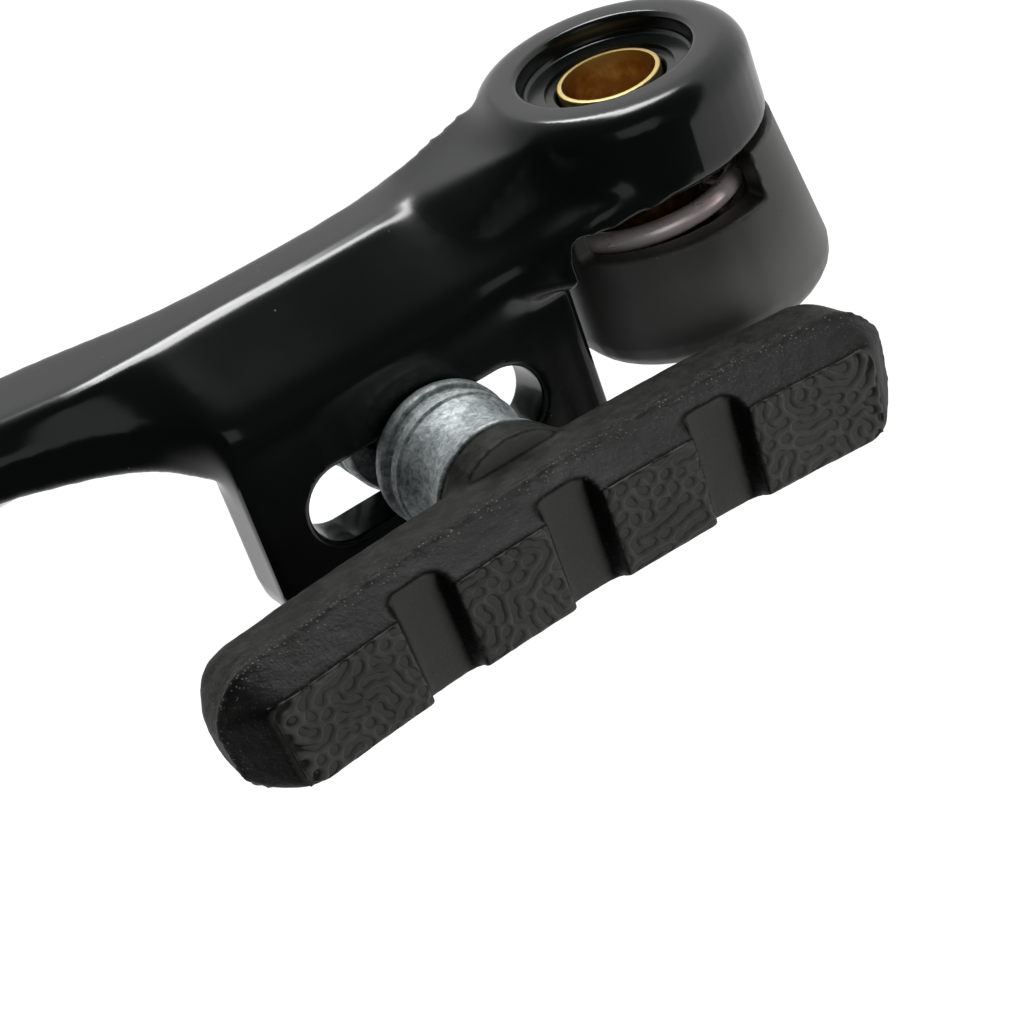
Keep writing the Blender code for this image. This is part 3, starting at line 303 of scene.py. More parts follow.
def smooth_rubber():
    """Moulded rubber, dusty along its parting line, blotched behind it, and painted light that makes it paler
    where it faces the wheel.
    """
    made = Finish("pad_rubber", (0.021, 0.021, 0.019), 0.6)
    off_seam = (made.axis("X") - PAD_SEAM_X).math("ABSOLUTE")
    near_seam = 1 - off_seam.rise(0.35 * MM, 1.7 * MM)
    dust = made.specks(0.42 * MM, 0.11 * MM, 1.5) * (0.15 + 0.85 * near_seam)
    smear = made.grain(1.1 * MM, detail=6, rough=0.7).rise(0.5, 0.75) * (0.12 + 0.88 * near_seam)
    cloud = made.grain(5 * MM, detail=4)
    behind_seam = made.axis("X").rise(PAD_SEAM_X - 0.6 * MM, PAD_SEAM_X + 0.8 * MM)
    facing = made.node("TexCoord", output="Normal")
    painted_light_to_wheel = 0 - made.node("SeparateXYZ", None, {"Vector": facing}, output="X")
    blotch = made.grain(1.5 * MM, detail=6, rough=0.65)
    color = made.blend(cloud.rise(0.35, 0.68), (0.0018, 0.0019, 0.0017), (0.004, 0.0041, 0.0037))
    color = made.blend(behind_seam * (0.25 + 0.75 * blotch.rise(0.4, 0.62)), color, (0.024, 0.0242, 0.022))
    # Painted light: faces turned towards the wheel, the groove floors among them, are made paler as if lit
    # from that side.
    color = made.blend(painted_light_to_wheel.rise(0.7, 0.97), color, (0.062, 0.0625, 0.058))
    color = made.blend(0.85 * smear, color, (0.055, 0.054, 0.049))
    made.set("Specular IOR Level", 0.2)
    made.set("Base Color", made.blend(dust, color, (0.13, 0.126, 0.114)))
    made.set("Roughness", 0.46 + 0.22 * cloud + 0.2 * smear)
    pits = made.grain(0.34 * MM, detail=3, rough=0.6)
    lumps = made.grain(1.6 * MM, detail=2)
    made.bump(0.5 * pits + lumps + 1.4 * smear * pits + 0.5 * dust, 0.09 * MM)
    return made.material


def tread_rubber():
    """The pad's braking blocks: paler rubber, with painted shade that makes them darker down in the marks."""
    made = Finish("tread_rubber", (0.036, 0.036, 0.032), 0.55)
    relief = made.node("Attribute", {"attribute_name": "relief"}, output="Fac")
    cloud = made.grain(2.4 * MM, detail=5, rough=0.6)
    crest = made.blend(cloud.rise(0.35, 0.7), (0.046, 0.0467, 0.0425), (0.072, 0.073, 0.067))
    # Painted shade: the colour darkens down in the marks, where relief shading falls.
    made.set("Base Color", made.blend(relief.rise(0.1, 0.75), (0.014, 0.0142, 0.013), crest))
    made.set("Specular IOR Level", 0.4)
    made.set("Roughness", 0.5 + 0.2 * cloud)
    fine = made.grain(0.2 * MM, detail=3, rough=0.6)
    made.bump(fine + 0.7 * made.grain(0.8 * MM, detail=2), 0.03 * MM)
    return made.material


def plated_zinc():
    """Pressed washers in dull zinc, mottled dark and bright."""
    made = Finish("mottled_zinc", (0.4, 0.43, 0.44), 0.45, 0.9)
    blotch = made.grain(0.62 * MM, detail=7, rough=0.72, warp=0.4)
    cloud = made.grain(2.6 * MM, detail=3)
    tone = 0.72 * blotch + 0.28 * cloud
    stops = [
        (0.36, (0.17, 0.19, 0.195)), (0.44, (0.31, 0.345, 0.35)), (0.52, (0.44, 0.485, 0.485)),
        (0.62, (0.68, 0.72, 0.71)),
    ]
    made.set("Base Color", made.ramp(tone, stops))
    made.set("Roughness", 0.85 - 0.3 * tone)
    made.bump(blotch + 0.4 * made.grain(0.12 * MM, detail=2), 0.035 * MM)
    return made.material


def machined_steel(name, color, rough):
    """Dark plated steel with fine tool marks."""
    made = Finish(name, color, rough, 1.0)
    cloud = made.grain(1.9 * MM, detail=5, rough=0.65)
    dark = tuple(0.55 * c for c in color)
    light = tuple(min(1.0, 1.25 * c) for c in color)
    made.set("Base Color", made.blend(cloud.rise(0.34, 0.68), dark, light))
    made.set("Roughness", rough - 0.08 + 0.22 * cloud)
    made.bump(made.grain(0.14 * MM, detail=3) + 0.6 * cloud, 0.012 * MM)
    return made.material


def bush_brass():
    """A drawn brass bush: bright at the rim, browner down the bore."""
    made = Finish("bush_brass", (0.55, 0.33, 0.1), 0.3, 1.0)
    depth = made.axis("Y")
    down = depth.rise(BUSH_LOW.y + 0.1 * MM, BUSH_LOW.y + 1.4 * MM)
    stain = made.grain(2.1 * MM, detail=5, rough=0.6)
    bore = made.blend(stain.rise(0.4, 0.66), (0.5, 0.3, 0.12), (0.8, 0.56, 0.26))
    made.set("Base Color", made.blend(down, (0.62, 0.48, 0.2), bore))
    made.set("Roughness", 0.24 + 0.22 * stain)
    drawn = made.grain(0.3 * MM, detail=2, place=made.stretched(8 * MM, 0.3 * MM, "Y"))
    made.bump(drawn + stain, 0.012 * MM)
    return made.material


def spring_wire():
    """Hard drawn wire in a pale pinkish white, a painted reflection: the colour of its bright pinkish
    highlight rather than of steel.
    """
    made = Finish("spring_wire", (0.75, 0.69, 0.66), 0.2, 0.75)
    painted_reflection_tint = made.grain(5 * MM, detail=2)
    stops = [(0.3, (0.9, 0.68, 0.66)), (0.48, (0.96, 0.88, 0.86)), (0.68, (0.94, 0.94, 0.83))]
    # Painted reflection: pinkish to near-white stops that stand in for the wire's bright highlight.
    made.set("Base Color", made.ramp(painted_reflection_tint, stops))
    made.set("Roughness", 0.2 + 0.2 * made.grain(1.2 * MM, detail=4))
    made.bump(made.grain(0.35 * MM, detail=2), 0.01 * MM)
    return made.material


PAINT = gloss_paint()
PLASTIC = moulded_plastic()
RUBBER = smooth_rubber()
TREAD = tread_rubber()
ZINC = plated_zinc()
BOLT_STEEL = machined_steel("bolt_steel", (0.42, 0.42, 0.43), 0.32)
DARK_STEEL = machined_steel("blackened_steel", (0.16, 0.16, 0.165), 0.36)
BRASS = bush_brass()
SPRING = spring_wire()

# Turns that lay a piece's own Z along an axis of the object
TO_FRONT = Matrix.Rotation(math.radians(90), 4, "X")
TO_PAD = Matrix.Rotation(math.radians(-90), 4, "Y")
TO_FAR = Matrix.Rotation(math.radians(90), 4, "Y")


def linked(name, work):
    """A new object in the scene from a bmesh, its faces turned outwards."""
    bmesh.ops.recalc_face_normals(work, faces=work.faces)
    mesh = bpy.data.meshes.new(name)
    work.to_mesh(mesh)
    work.free()
    made = bpy.data.objects.new(name, mesh)
    bpy.context.scene.collection.objects.link(made)
    return made


def bake(piece):
    """Applies a piece's modifiers."""
    bpy.context.view_layer.update()
    graph = bpy.context.evaluated_depsgraph_get()
    mesh = bpy.data.meshes.new_from_object(piece.evaluated_get(graph))
    piece.modifiers.clear()
    piece.data = mesh
    return piece


def merged_copy(node):
    """A bmesh of a node's solid, its loose triangles joined up."""
    work = bmesh.new()
    work.from_mesh(frame["nodes"][node].data)
    bmesh.ops.remove_doubles(work, verts=work.verts, dist=0.002 * MM)
    return work


def show(piece, material, body, node=None, smooth_deg=35):
    """Puts a finished piece on its body, in its finish, in place of its node."""
    piece.data.materials.clear()
    piece.data.materials.append(material)
    piece.data.shade_smooth()
    piece.data.set_sharp_from_angle(angle=math.radians(smooth_deg))
    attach(piece, body)
    if node:
        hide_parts(node)
    return piece


def remeshed(piece, step):
    """One closed skin over all that a piece is made of."""
    skin = piece.modifiers.new("skin", "REMESH")
    skin.mode = "VOXEL"
    skin.voxel_size = step
    return bake(piece)


def climb(values, start, width):
    """From 0 at `start` to 1 a `width` past it, straight, and level outside them."""
    return np.clip((values - start) / width, 0, 1)


def fall(values, end, width):
    """From 1 a `width` before `end` to 0 at it, straight, and level outside them."""
    return np.clip((end - values) / width, 0, 1)


def near(values, middle, width):
    """1 at `middle`, fading out a `width` or two from it."""
    return np.exp(-((values - middle) / width) ** 2)


def places_of(mesh):
    flat = np.empty(len(mesh.vertices) * 3)
    mesh.vertices.foreach_get("co", flat)
    return flat.reshape(-1, 3)


def normals_of(mesh):
    flat = np.empty(len(mesh.vertices) * 3, dtype=np.float32)
    mesh.vertex_normals.foreach_get("vector", flat)
    return flat.reshape(-1, 3).astype(float)


def put_places(mesh, places):
    mesh.vertices.foreach_set("co", places.ravel())
    mesh.update()


def relax(piece, rounds, fill_rounds=0, fill=None, ease=None, ease_rounds=0):
    """Takes the steps out of a skin, fills its inner corners with soft fillets and eases chosen edges.

    `fill` and `ease` are functions that give how far each point is filled and eased.
    """
    mesh = piece.data
    places = places_of(mesh)
    count = len(places)
    ends = np.empty(len(mesh.edges) * 2, dtype=np.int32)
    mesh.edges.foreach_get("vertices", ends)
    a = ends[0::2]
    b = ends[1::2]
    degree = np.bincount(ends, minlength=count)[:, None]

    def pull():
        sums = [np.bincount(a, places[b, k], count) + np.bincount(b, places[a, k], count) for k in range(3)]
        return np.stack(sums, 1) / degree - places

    def smooth(times):
        """Each pull in has a slightly longer push out after it, so that the skin doesn't shrink."""
        for _ in range(times):
            places[:] += 0.5 * pull()
            places[:] -= 0.52 * pull()

    smooth(rounds)
    put_places(mesh, places)
    share = 0.6 if fill is None else 0.6 * fill(places)[:, None]
    for i in range(fill_rounds):
        if i % 4 == 0:
            put_places(mesh, places)
            normals = normals_of(mesh)
        outward = (pull() * normals).sum(1)
        places += share * np.maximum(outward, 0)[:, None] * normals
    if ease is not None:
        put_places(mesh, places)
        share = ease(places, normals_of(mesh))[:, None]
        for _ in range(ease_rounds):
            places += 0.5 * share * pull()
    if fill_rounds:
        smooth(2)
    put_places(mesh, places)


def spun(name, profile, turn=TO_FRONT, place=(0, 0, 0), steps=64):
    """A turned piece from points (radius, height) about its own Z. A profile off that axis is closed."""
    work = bmesh.new()
    verts = [work.verts.new((r, 0, h)) for r, h in profile]
    edges = [work.edges.new(pair) for pair in zip(verts, verts[1:])]
    if profile[0][0] > 0:
        edges.append(work.edges.new((verts[-1], verts[0])))
    bmesh.ops.spin(work, geom=verts + edges, cent=(0, 0, 0), axis=(0, 0, 1), angle=2 * math.pi,
                   steps=steps, use_merge=True)
    bmesh.ops.remove_doubles(work, verts=work.verts, dist=0.0005 * MM)
    bmesh.ops.transform(work, matrix=Matrix.Translation(place) @ turn, verts=work.verts)
    return linked(name, work)


def arc(centre, radius, start_deg, end_deg, steps):
    """Points of a profile on part of a circle."""
    angles = [math.radians(start_deg + (end_deg - start_deg) * i / steps) for i in range(steps + 1)]
    return [(centre[0] + radius * math.cos(t), centre[1] + radius * math.sin(t)) for t in angles]


def cut(piece, tool):
    """Takes a closed tool's space out of a piece, and the tool out of the scene."""
    step = piece.modifiers.new("cut", "BOOLEAN")
    step.operation = "DIFFERENCE"
    step.solver = "MANIFOLD"
    step.object = tool
    bake(piece)
    bpy.data.objects.remove(tool, do_unlink=True)


def cylinder(work, radius, start, end, segments):
    """Adds a capped cylinder between two points to a bmesh."""
    start = Vector(start)
    end = Vector(end)
    lean = (end - start).to_track_quat("Z", "Y").to_matrix().to_4x4()
    bmesh.ops.create_cone(work, cap_ends=True, segments=segments, radius1=radius, radius2=radius,
                          depth=(end - start).length, matrix=Matrix.Translation((start + end) / 2) @ lean)


def box(work, low, high):
    """Adds a box between two corners to a bmesh."""
    middle = (Vector(low) + Vector(high)) / 2
    size = Vector(high) - Vector(low)
    bmesh.ops.create_cube(work, size=1.0, matrix=Matrix.Translation(middle) @ Matrix.Diagonal((*size, 1)))


def bore_tool():
    """The eye's counterbore and bore, opened out at the lip and eased at the step."""
    past_lip = MM
    past_eye = -EYE_DEPTH - 3 * MM
    floor_r = COUNTERBORE_FLOOR_R
    mouth = arc((COUNTERBORE_R + LIP_EDGE_R, -LIP_EDGE_R), LIP_EDGE_R, 90, 180, 5)
    floor = arc((COUNTERBORE_R - floor_r, floor_r - COUNTERBORE_DEPTH), floor_r, 0, -90, 4)
    step_r = BUSH_HOLE_R + 0.9 * MM
    step = COUNTERBORE_DEPTH + 0.35 * MM
    edge = 0.15 * MM
    profile = [
        (0, past_lip), (COUNTERBORE_R + LIP_EDGE_R, past_lip), *mouth, *floor,
        (step_r, -COUNTERBORE_DEPTH), (step_r - 0.1 * MM, -step), (BUSH_HOLE_R + edge, -step),
        (BUSH_HOLE_R, -step - edge), (BUSH_HOLE_R, past_eye), (0, past_eye),
    ]
    return spun("bore tool", profile, place=(0, LIP_Y, 0), steps=96)


def slot_tool():
    """The slot for the pad's stud, its mouths rounded out at both faces."""
    work = bmesh.new()
    angles = [math.radians(a) for a in (90, 65, 40, 20, 0)]
    bend = [SLOT_EDGE_R * (1 - math.cos(a)) for a in angles]
    drop = [SLOT_EDGE_R * math.sin(a) for a in angles]
    pad_side = [(FLANGE_X[0] + SLOT_EDGE_R - d, b) for b, d in zip(bend, drop)]
    far_side = [(FLANGE_X[1] - SLOT_EDGE_R + d, b) for b, d in zip(bend[::-1], drop[::-1])]
    levels = [(FLANGE_X[0] - MM, bend[0]), *pad_side, *far_side, (FLANGE_X[1] + MM, bend[0])]
    middle = (SLOT_FOOT + SLOT_HEAD) / 2
    reach = (SLOT_HEAD - SLOT_FOOT) / 2 - SLOT_HALF_W
    segments = 48
    half_segment = Matrix.Rotation(math.radians(180 / segments), 4, "Z")
    loops = []
    for x, grow in levels:
        place = Matrix.Translation((x, STUD_Y, middle)) @ TO_FAR @ half_segment
        ring = bmesh.ops.create_circle(work, cap_ends=False, segments=segments, radius=SLOT_HALF_W + grow,
                                       matrix=place)
        for vert in ring["verts"]:
            vert.co.z += math.copysign(reach, vert.co.z - middle)
        loops.append([e for e in work.edges if e.verts[0] in ring["verts"] and e.verts[1] in ring["verts"]])
    for low, high in zip(loops, loops[1:]):
        bmesh.ops.bridge_loops(work, edges=low + high)
    for loop in (loops[0], loops[-1]):
        bmesh.ops.contextual_create(work, geom=loop)
    return linked("slot tool", work)


def clear_of_housing(places):
    """Fillets stay out of the corner that the housing turns in."""
    behind_eye = climb(places[:, 1], LIP_Y + EYE_DEPTH - 1.2 * MM, MM)
    return 1 - behind_eye * fall(places[:, 2], HOUSING_TURNING_R, 1.5 * MM)


def ridge_share(places, normals):
    """How far each point belongs to the ridge or the shoulder of the bar, whose edges are worn round."""
    x, y, z = places.T
    on_bar = climb(z, BAR_FOOT, 6 * MM)
    to_pad_side = fall(normals[:, 0], 0.15, 0.1)
    to_front = climb(-normals[:, 1], 0.4, 0.2)
    ridge = near(y, RIDGE_Y, 1.7 * MM) * to_front
    shoulder = fall(x, 0.2 * MM, 4 * MM) * near(y, SHOULDER_Y, 2.2 * MM) * fall(z, SHOULDER_HEAD, 8 * MM)
    return on_bar * to_pad_side * np.maximum(0.35 * ridge, shoulder)


def add_neck(work):
    """Metal that carries the bar's ridge up to the rim of the eye: a wedge between two sections, in mm."""
    root = 8
    corners = []
    for z, left, right, top, root_left in ((10, -5.5, 6.6, 0.9, -6.8), (20, 2.0, 8.0, 4.1, -2.2)):
        corners += [(left, top, z), (right, top, z), (root_left, root, z), (right, root, z)]
    verts = [work.verts.new((x * MM, LIP_Y + y * MM, z * MM)) for x, y, z in corners]
    bmesh.ops.convex_hull(work, input=verts)


def make_arm():
    """The forging: one skin over eye, bar and flange, fillets in its corners, then bored and slotted."""
    work = merged_copy("arm")
    inside = 0.05 * MM
    cylinder(work, COUNTERBORE_R + MM, (0, LIP_Y + inside, 0), (0, LIP_Y + EYE_DEPTH - inside, 0), 64)
    margin = 1.4 * MM
    half_w = SLOT_HALF_W + margin
    box(work, (FLANGE_X[0] + inside, STUD_Y - half_w, SLOT_FOOT - margin),
        (FLANGE_X[1] - inside, STUD_Y + half_w, SLOT_HEAD + margin))
    add_neck(work)
    arm = remeshed(linked("forged_arm", work), ARM_SKIN_STEP)
    relax(arm, rounds=14, fill_rounds=50, fill=clear_of_housing, ease=ridge_share, ease_rounds=30)
    cut(arm, bore_tool())
    cut(arm, slot_tool())
    holes = bmesh.new()
    cylinder(holes, ANCHOR_HOLE_R, (ANCHOR_X, -PAST_ARM, ANCHOR_Z), (ANCHOR_X, PAST_ARM, ANCHOR_Z), 40)
    cylinder(holes, PIN_HOLE_R, (PIN_X, PIN_HOLE_FOOT, PIN_Z), (PIN_X, PIN_HOLE_END, PIN_Z), 32)
    cut(arm, linked("holes tool", holes))
    return show(arm, PAINT, "arm", "arm", smooth_deg=38)


def true_up_wall(mesh):
    """Moves the housing's outer wall from its flats onto the true rounded outline, flared to the back."""
    places = places_of(mesh)
    x, y, z = places.T
    painted_sheen_to_back = (y - HOUSING_LOW.y) / (HOUSING_HIGH.y - HOUSING_LOW.y)
    flare_end = 0.85
    grow = HOUSING_FLARE * np.minimum(1, painted_sheen_to_back / flare_end)
    side = HOUSING_SIDE + grow
    foot = HOUSING_FOOT + grow
    widest_corner = 0.49 * (foot + HOUSING_TOP)
    foot_corner = np.minimum(HOUSING_FOOT_CORNER_R + grow, widest_corner)
    corner = np.where(z > 0, HOUSING_TOP_CORNER_R, foot_corner)
    out_x = np.abs(x) - (side - corner)
    out_z = np.where(z > 0, z - (HOUSING_TOP - corner), -z - (foot - corner))
    reach = np.hypot(np.maximum(out_x, 0), np.maximum(out_z, 0))
    off = reach - corner
    most_off = 0.12 * MM
    before_back = y < HOUSING_HIGH.y - HOUSING_BACK_ROUND
    wall = (out_x > 0) & (out_z > 0) & (np.abs(off) < most_off) & before_back
    places[wall, 0] -= (off * np.sign(x) * out_x / np.maximum(reach, MM))[wall]
    places[wall, 2] -= (off * np.sign(z) * out_z / np.maximum(reach, MM))[wall]
    put_places(mesh, places)


def make_housing():
    """The spring's cup: a smooth skin over the moulding, its wall trued up in between."""
    housing = remeshed(linked("moulded_housing", merged_copy("spring_housing")), HOUSING_SKIN_STEP)
    relax(housing, rounds=8)
    true_up_wall(housing.data)
    relax(housing, rounds=4)
    return show(housing, PLASTIC, "housing", "spring_housing", smooth_deg=60)


def make_bush():
    """The brass bush, its rim turned down thin and bright."""
    outer = BUSH_HIGH.x
    inner = outer - 0.55 * MM
    length = BUSH_HIGH.y - BUSH_LOW.y
    edge = 0.12 * MM
    reamed = inner + 0.06 * MM
    profile = [
        (inner + edge, length), *arc((outer - edge, length - edge), edge, 90, 0, 3),
        (outer, edge), (outer - edge, 0), (inner + edge, 0), (inner, edge),
        (inner, length - 3.2 * MM), (reamed, length - 3.0 * MM), (reamed, length - 0.35 * MM),
    ]
    bush = spun("brass_bush", profile, steps=96)
    return show(bush, BRASS, "housing", "pivot_bush", smooth_deg=50)


def rounded_copy(node, name, width):
    """A node's solid with its edges eased by a small bevel."""
    work = merged_copy(node)
    flat = math.radians(0.4)
    sharp = math.radians(28)
    bmesh.ops.dissolve_limit(work, angle_limit=flat, verts=work.verts, edges=work.edges)
    edges = [e for e in work.edges if len(e.link_faces) == 2 and e.calc_face_angle(0) > sharp]
    bmesh.ops.bevel(work, geom=edges, offset=width, offset_type="OFFSET", segments=2, profile=0.5,
                    affect="EDGES", material=-1, clamp_overlap=True)
    return linked(name, work)


def make_small_steel():
    """Pins, screw, nut and plain washers: their solids, each with eased edges."""
    for node, name, finish, width in (
            ("stop_pin", "turned_stop_pin", DARK_STEEL, 0.08 * MM),
            ("tension_screw", "slotted_screw", DARK_STEEL, 0.12 * MM),
            ("spring_pin", "headed_pin", DARK_STEEL, 0.15 * MM),
            ("cable_anchor_washer", "clamp_washer", BOLT_STEEL, 0.12 * MM),
            ("flat_washer", "plain_washer", ZINC, 0.15 * MM),
            ("pad_nut", "hexagon_nut", BOLT_STEEL, 0.12 * MM)):
        show(rounded_copy(node, name, width), finish, BODY_OF[node], node)


def make_sleeve():
    """The plastic sleeve on the spring's leg."""
    sleeve = rounded_copy("spring_sleeve", "wire_sleeve", 0.12 * MM)
    show(sleeve, PLASTIC, "arm", "spring_sleeve")


def make_spring():
    """The wire rounded by two levels of subdivision, pushed out first by what that takes off.

    Its leg bows a little to the far side, out of sight behind the bar's eased edge.
    """
    work = merged_copy("return_spring")
    widest = math.radians(60)
    bmesh.ops.join_triangles(work, faces=work.faces, angle_face_threshold=widest,
                             angle_shape_threshold=widest)
    work.normal_update()
    for vert in work.verts:
        vert.co += vert.normal * WIRE_SWELL
        vert.co.x += LEG_BOW * near(vert.co.z, LEG_BOW_Z, LEG_BOW_REACH)
    spring = linked("drawn_spring", work)
    step = spring.modifiers.new("round", "SUBSURF")
    step.levels = 2
    step.render_levels = 2
    bake(spring)
    return show(spring, SPRING, "arm", "return_spring", smooth_deg=60)


def threaded(name, foot, thread_foot, end, head, turn, place):
    """An M6 screw: `head` is the profile up to its shank, and a helix is pressed into the shank."""
    rows_a_turn = 8
    rows = max(2, round((thread_foot - end) / (THREAD_PITCH / rows_a_turn)))
    shank = [(M6_R, thread_foot + (end - thread_foot) * i / rows) for i in range(rows + 1)]
    profile = [*head, (M6_R, foot), *shank, (0, end)]
    screw = spun(name, profile, turn=Matrix.Identity(4), steps=44)
    depth = 0.6 * THREAD_PITCH
    depth_at_end = 0.3
    flank_slope = 2.6
    point_long = 0.6 * THREAD_PITCH
    point_deep = 0.45 * MM
    slack = 1e-6
    for vert in screw.data.vertices:
        x, y, z = vert.co
        r = math.hypot(x, y)
        if abs(r - M6_R) > slack or z > thread_foot - slack:
            continue
        phase = (z / THREAD_PITCH - math.atan2(y, x) / (2 * math.pi)) % 1.0
        groove = depth * (1 - min(1.0, flank_slope * abs(phase - 0.5)))
        run_out = min(1.0, (z - end) / THREAD_PITCH + depth_at_end, (thread_foot - z) / THREAD_PITCH)
        taper = max(0.0, 1 - (z - end) / point_long) * point_deep
        share = (r - max(groove * run_out, taper)) / r
        vert.co.x *= share
        vert.co.y *= share
    screw.data.transform(Matrix.Translation(place) @ turn)
    return screw


def make_stud():
    """The pad's stud, threaded from just outside the rubber to its end."""
    top = -STUD_LOW.x
    end = -STUD_HIGH.x
    head_r = STUD_HIGH.y - STUD_Y
    foot = top - 1.6 * MM
    edge = 0.4 * MM
    head = [(0, top), (head_r - edge, top), (head_r, top - edge), (head_r, foot), (M6_R, foot)]
    stud = threaded("pad_screw", foot - 0.2 * MM, foot - 5 * MM, end, head, TO_PAD, (0, STUD_Y, STUD_Z))
    return show(stud, BOLT_STEEL, BODY_OF["pad_stud"], "pad_stud", smooth_deg=40)


def make_anchor_bolt():
    """The cable bolt: a domed cap with a six-sided socket, and a threaded shank."""
    top = -BOLT_LOW.y
    end = -BOLT_HIGH.y
    r = (BOLT_HIGH.x - BOLT_LOW.x) / 2
    foot = top - 5.2 * MM
    edge = 0.7 * MM
    foot_edge = 0.2 * MM
    head = [(0, top), (r - edge, top), *arc((r - edge, top - edge), edge, 75, 0, 4), (r, foot + foot_edge),
            (r - foot_edge, foot), (M6_R, foot)]
    bolt = threaded("cable_bolt", foot - 0.1 * MM, foot - 0.6 * MM, end, head, TO_FRONT,
                    (ANCHOR_X, 0, ANCHOR_Z))
    key = bmesh.new()
    key_r = 2.9 * MM
    place = Matrix.Translation((ANCHOR_X, BOLT_LOW.y, ANCHOR_Z)) @ TO_FRONT
    bmesh.ops.create_cone(key, cap_ends=True, segments=6, radius1=key_r, radius2=key_r, depth=6 * MM,
                          matrix=place)
    cut(bolt, linked("key tool", key))
    return show(bolt, BOLT_STEEL, "arm", "cable_anchor_bolt", smooth_deg=40)


def ball_points(radius, from_r, to_r, steps):
    """Points of a profile on a ball, from one distance off its axis to another."""
    start = math.degrees(math.acos(from_r / radius))
    end = math.degrees(math.acos(to_r / radius))
    return arc((0, 0), radius, start, end, steps)


def washer_reach(node, far_side):
    """Where a washer starts and ends, counted from the flange's middle, and its radius."""
    low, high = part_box(node)
    foot_x, top_x = (low.x, high.x) if far_side else (high.x, low.x)
    return abs(foot_x - FLANGE_MIDDLE_X), abs(top_x - FLANGE_MIDDLE_X), (high.z - low.z) / 2


def show_washer(node, name, profile, far_side):
    """Spins a washer's profile about the stud and puts it on its body."""
    turn = TO_FAR if far_side else TO_PAD
    made = spun(name, profile, turn=turn, place=(FLANGE_MIDDLE_X, STUD_Y, STUD_Z), steps=96)
    return show(made, ZINC, BODY_OF[node], node, smooth_deg=32)


def make_ball_washer(node, name, far_side):
    """Flat on the flange, a ball face towards the cup, its rim turned to a broad bevel."""
    foot, _, r = washer_reach(node, far_side)
    hole = BALL_WASHER_HOLE_R
    ball = ball_points(BALL_R, r - 0.5 * MM, hole, 10)
    rim_top = ball[0][1]
    edge = 0.22 * MM
    bevel = 0.55 * MM
    profile = [
        *ball[::-1], *arc((r - edge, rim_top - edge), edge, 80, 0, 3), (r, foot + bevel),
        (r - 0.35 * bevel, foot + 0.12 * MM), (r - 0.6 * bevel, foot), (hole, foot),
    ]
    return show_washer(node, name, profile, far_side)


def make_cup_washer(node, name, far_side, waist):
    """A hollow ball face, a turned rim with a fine groove beside it, a slight waist and a flared end."""
    foot, top, r = washer_reach(node, far_side)
    hole = CUP_WASHER_HOLE_R
    mouth_r = min(CUP_R * 0.99, math.sqrt(CUP_R**2 - foot**2))
    ball = ball_points(CUP_R, mouth_r, hole, 12)
    edge = 0.3 * MM
    body_r = r - 0.14 * MM
    groove_r = r - 0.3 * MM
    side_foot = foot + 1.25 * MM
    side_top = top - 0.35 * MM
    steps = 14
    body = []
    for i in range(1, steps + 1):
        share = i / steps
        dip = waist * math.sin(math.pi * share) ** 0.8
        body.append((body_r - dip, side_top + share * (side_foot + 0.3 * MM - side_top)))
    profile = [
        (hole, top), *arc((body_r - edge, top - edge), edge, 90, 10, 4), *body,
        (groove_r, side_foot + 0.2 * MM), (groove_r, side_foot + 0.08 * MM), (r, side_foot - 0.05 * MM),
        (r, foot + edge), (r - edge, foot), *ball,
    ]
    return show_washer(node, name, profile, far_side)


def make_washers():
    """Two pairs of ball and cup washers, one on each side of the flange."""
    make_ball_washer("convex_washer_pad_side", "ball_washer_near", far_side=False)
    make_ball_washer("convex_washer_far_side", "ball_washer_far", far_side=True)
    make_cup_washer("cup_washer_pad_side", "cup_washer_near", far_side=False, waist=0.7 * MM)
    make_cup_washer("cup_washer_far_side", "cup_washer_far", far_side=True, waist=0.15 * MM)


def pad_end_share(places, normals):
    """The pad's edges are eased a little, and much more at both ends of its face."""
    to_end = climb(np.abs(places[:, 2] - STUD_Z), PAD_HALF_LONG - 2.5 * MM, 1.5 * MM)
    to_face = fall(places[:, 0], PAD_FACE_X + 3.5 * MM, 1.5 * MM)
    return 0.12 + 0.88 * to_face * to_end


def make_pad():
    """The rubber body: a soft skin over the moulding, with flash along its parting line."""
    pad = remeshed(linked("moulded_pad", merged_copy("pad_block")), PAD_SKIN_STEP)
    relax(pad, rounds=5, fill_rounds=14, ease=pad_end_share, ease_rounds=26)
    mesh = pad.data
    places = places_of(mesh)
    normals = normals_of(mesh)
    lift = np.empty(len(places))
    for i, (x, y, z) in enumerate(places):
        spot = Vector((x, y, z)) / MM
        flash = near(x, PAD_SEAM_X, 0.28 * MM)
        rough = noise.noise(spot * 1.9)
        coarse = noise.noise(spot * 0.7 + Vector((9, 4, 2)))
        lift[i] = flash * (0.11 + 0.1 * rough) + 0.02 * rough + 0.03 * coarse
    put_places(mesh, places + normals * (lift * MM)[:, None])
    return show(pad, RUBBER, "pad", "pad_block", smooth_deg=50)


def worm_marks(rows, columns, step, wavelength, seed):
    """Short worm-like marks, from -1 to 1: noise kept near one wavelength and sharpened again and again."""
    field = np.random.default_rng(seed).standard_normal((rows, columns))
    across = np.fft.fftfreq(rows, step)[:, None]
    along = np.fft.rfftfreq(columns, step)[None, :]
    frequency = np.hypot(across, along)
    band = near(frequency * wavelength, 1, 0.3)
    soft = np.exp(-(frequency * MARK_SOFTNESS) ** 2)
    gain = 2.4
    more_crests = 0.6
    for _ in range(6):
        field = np.fft.irfft2(np.fft.rfft2(field) * band, s=field.shape)
        field = np.tanh(gain * field / field.std() + more_crests)
    return np.fft.irfft2(np.fft.rfft2(field) * soft, s=field.shape)


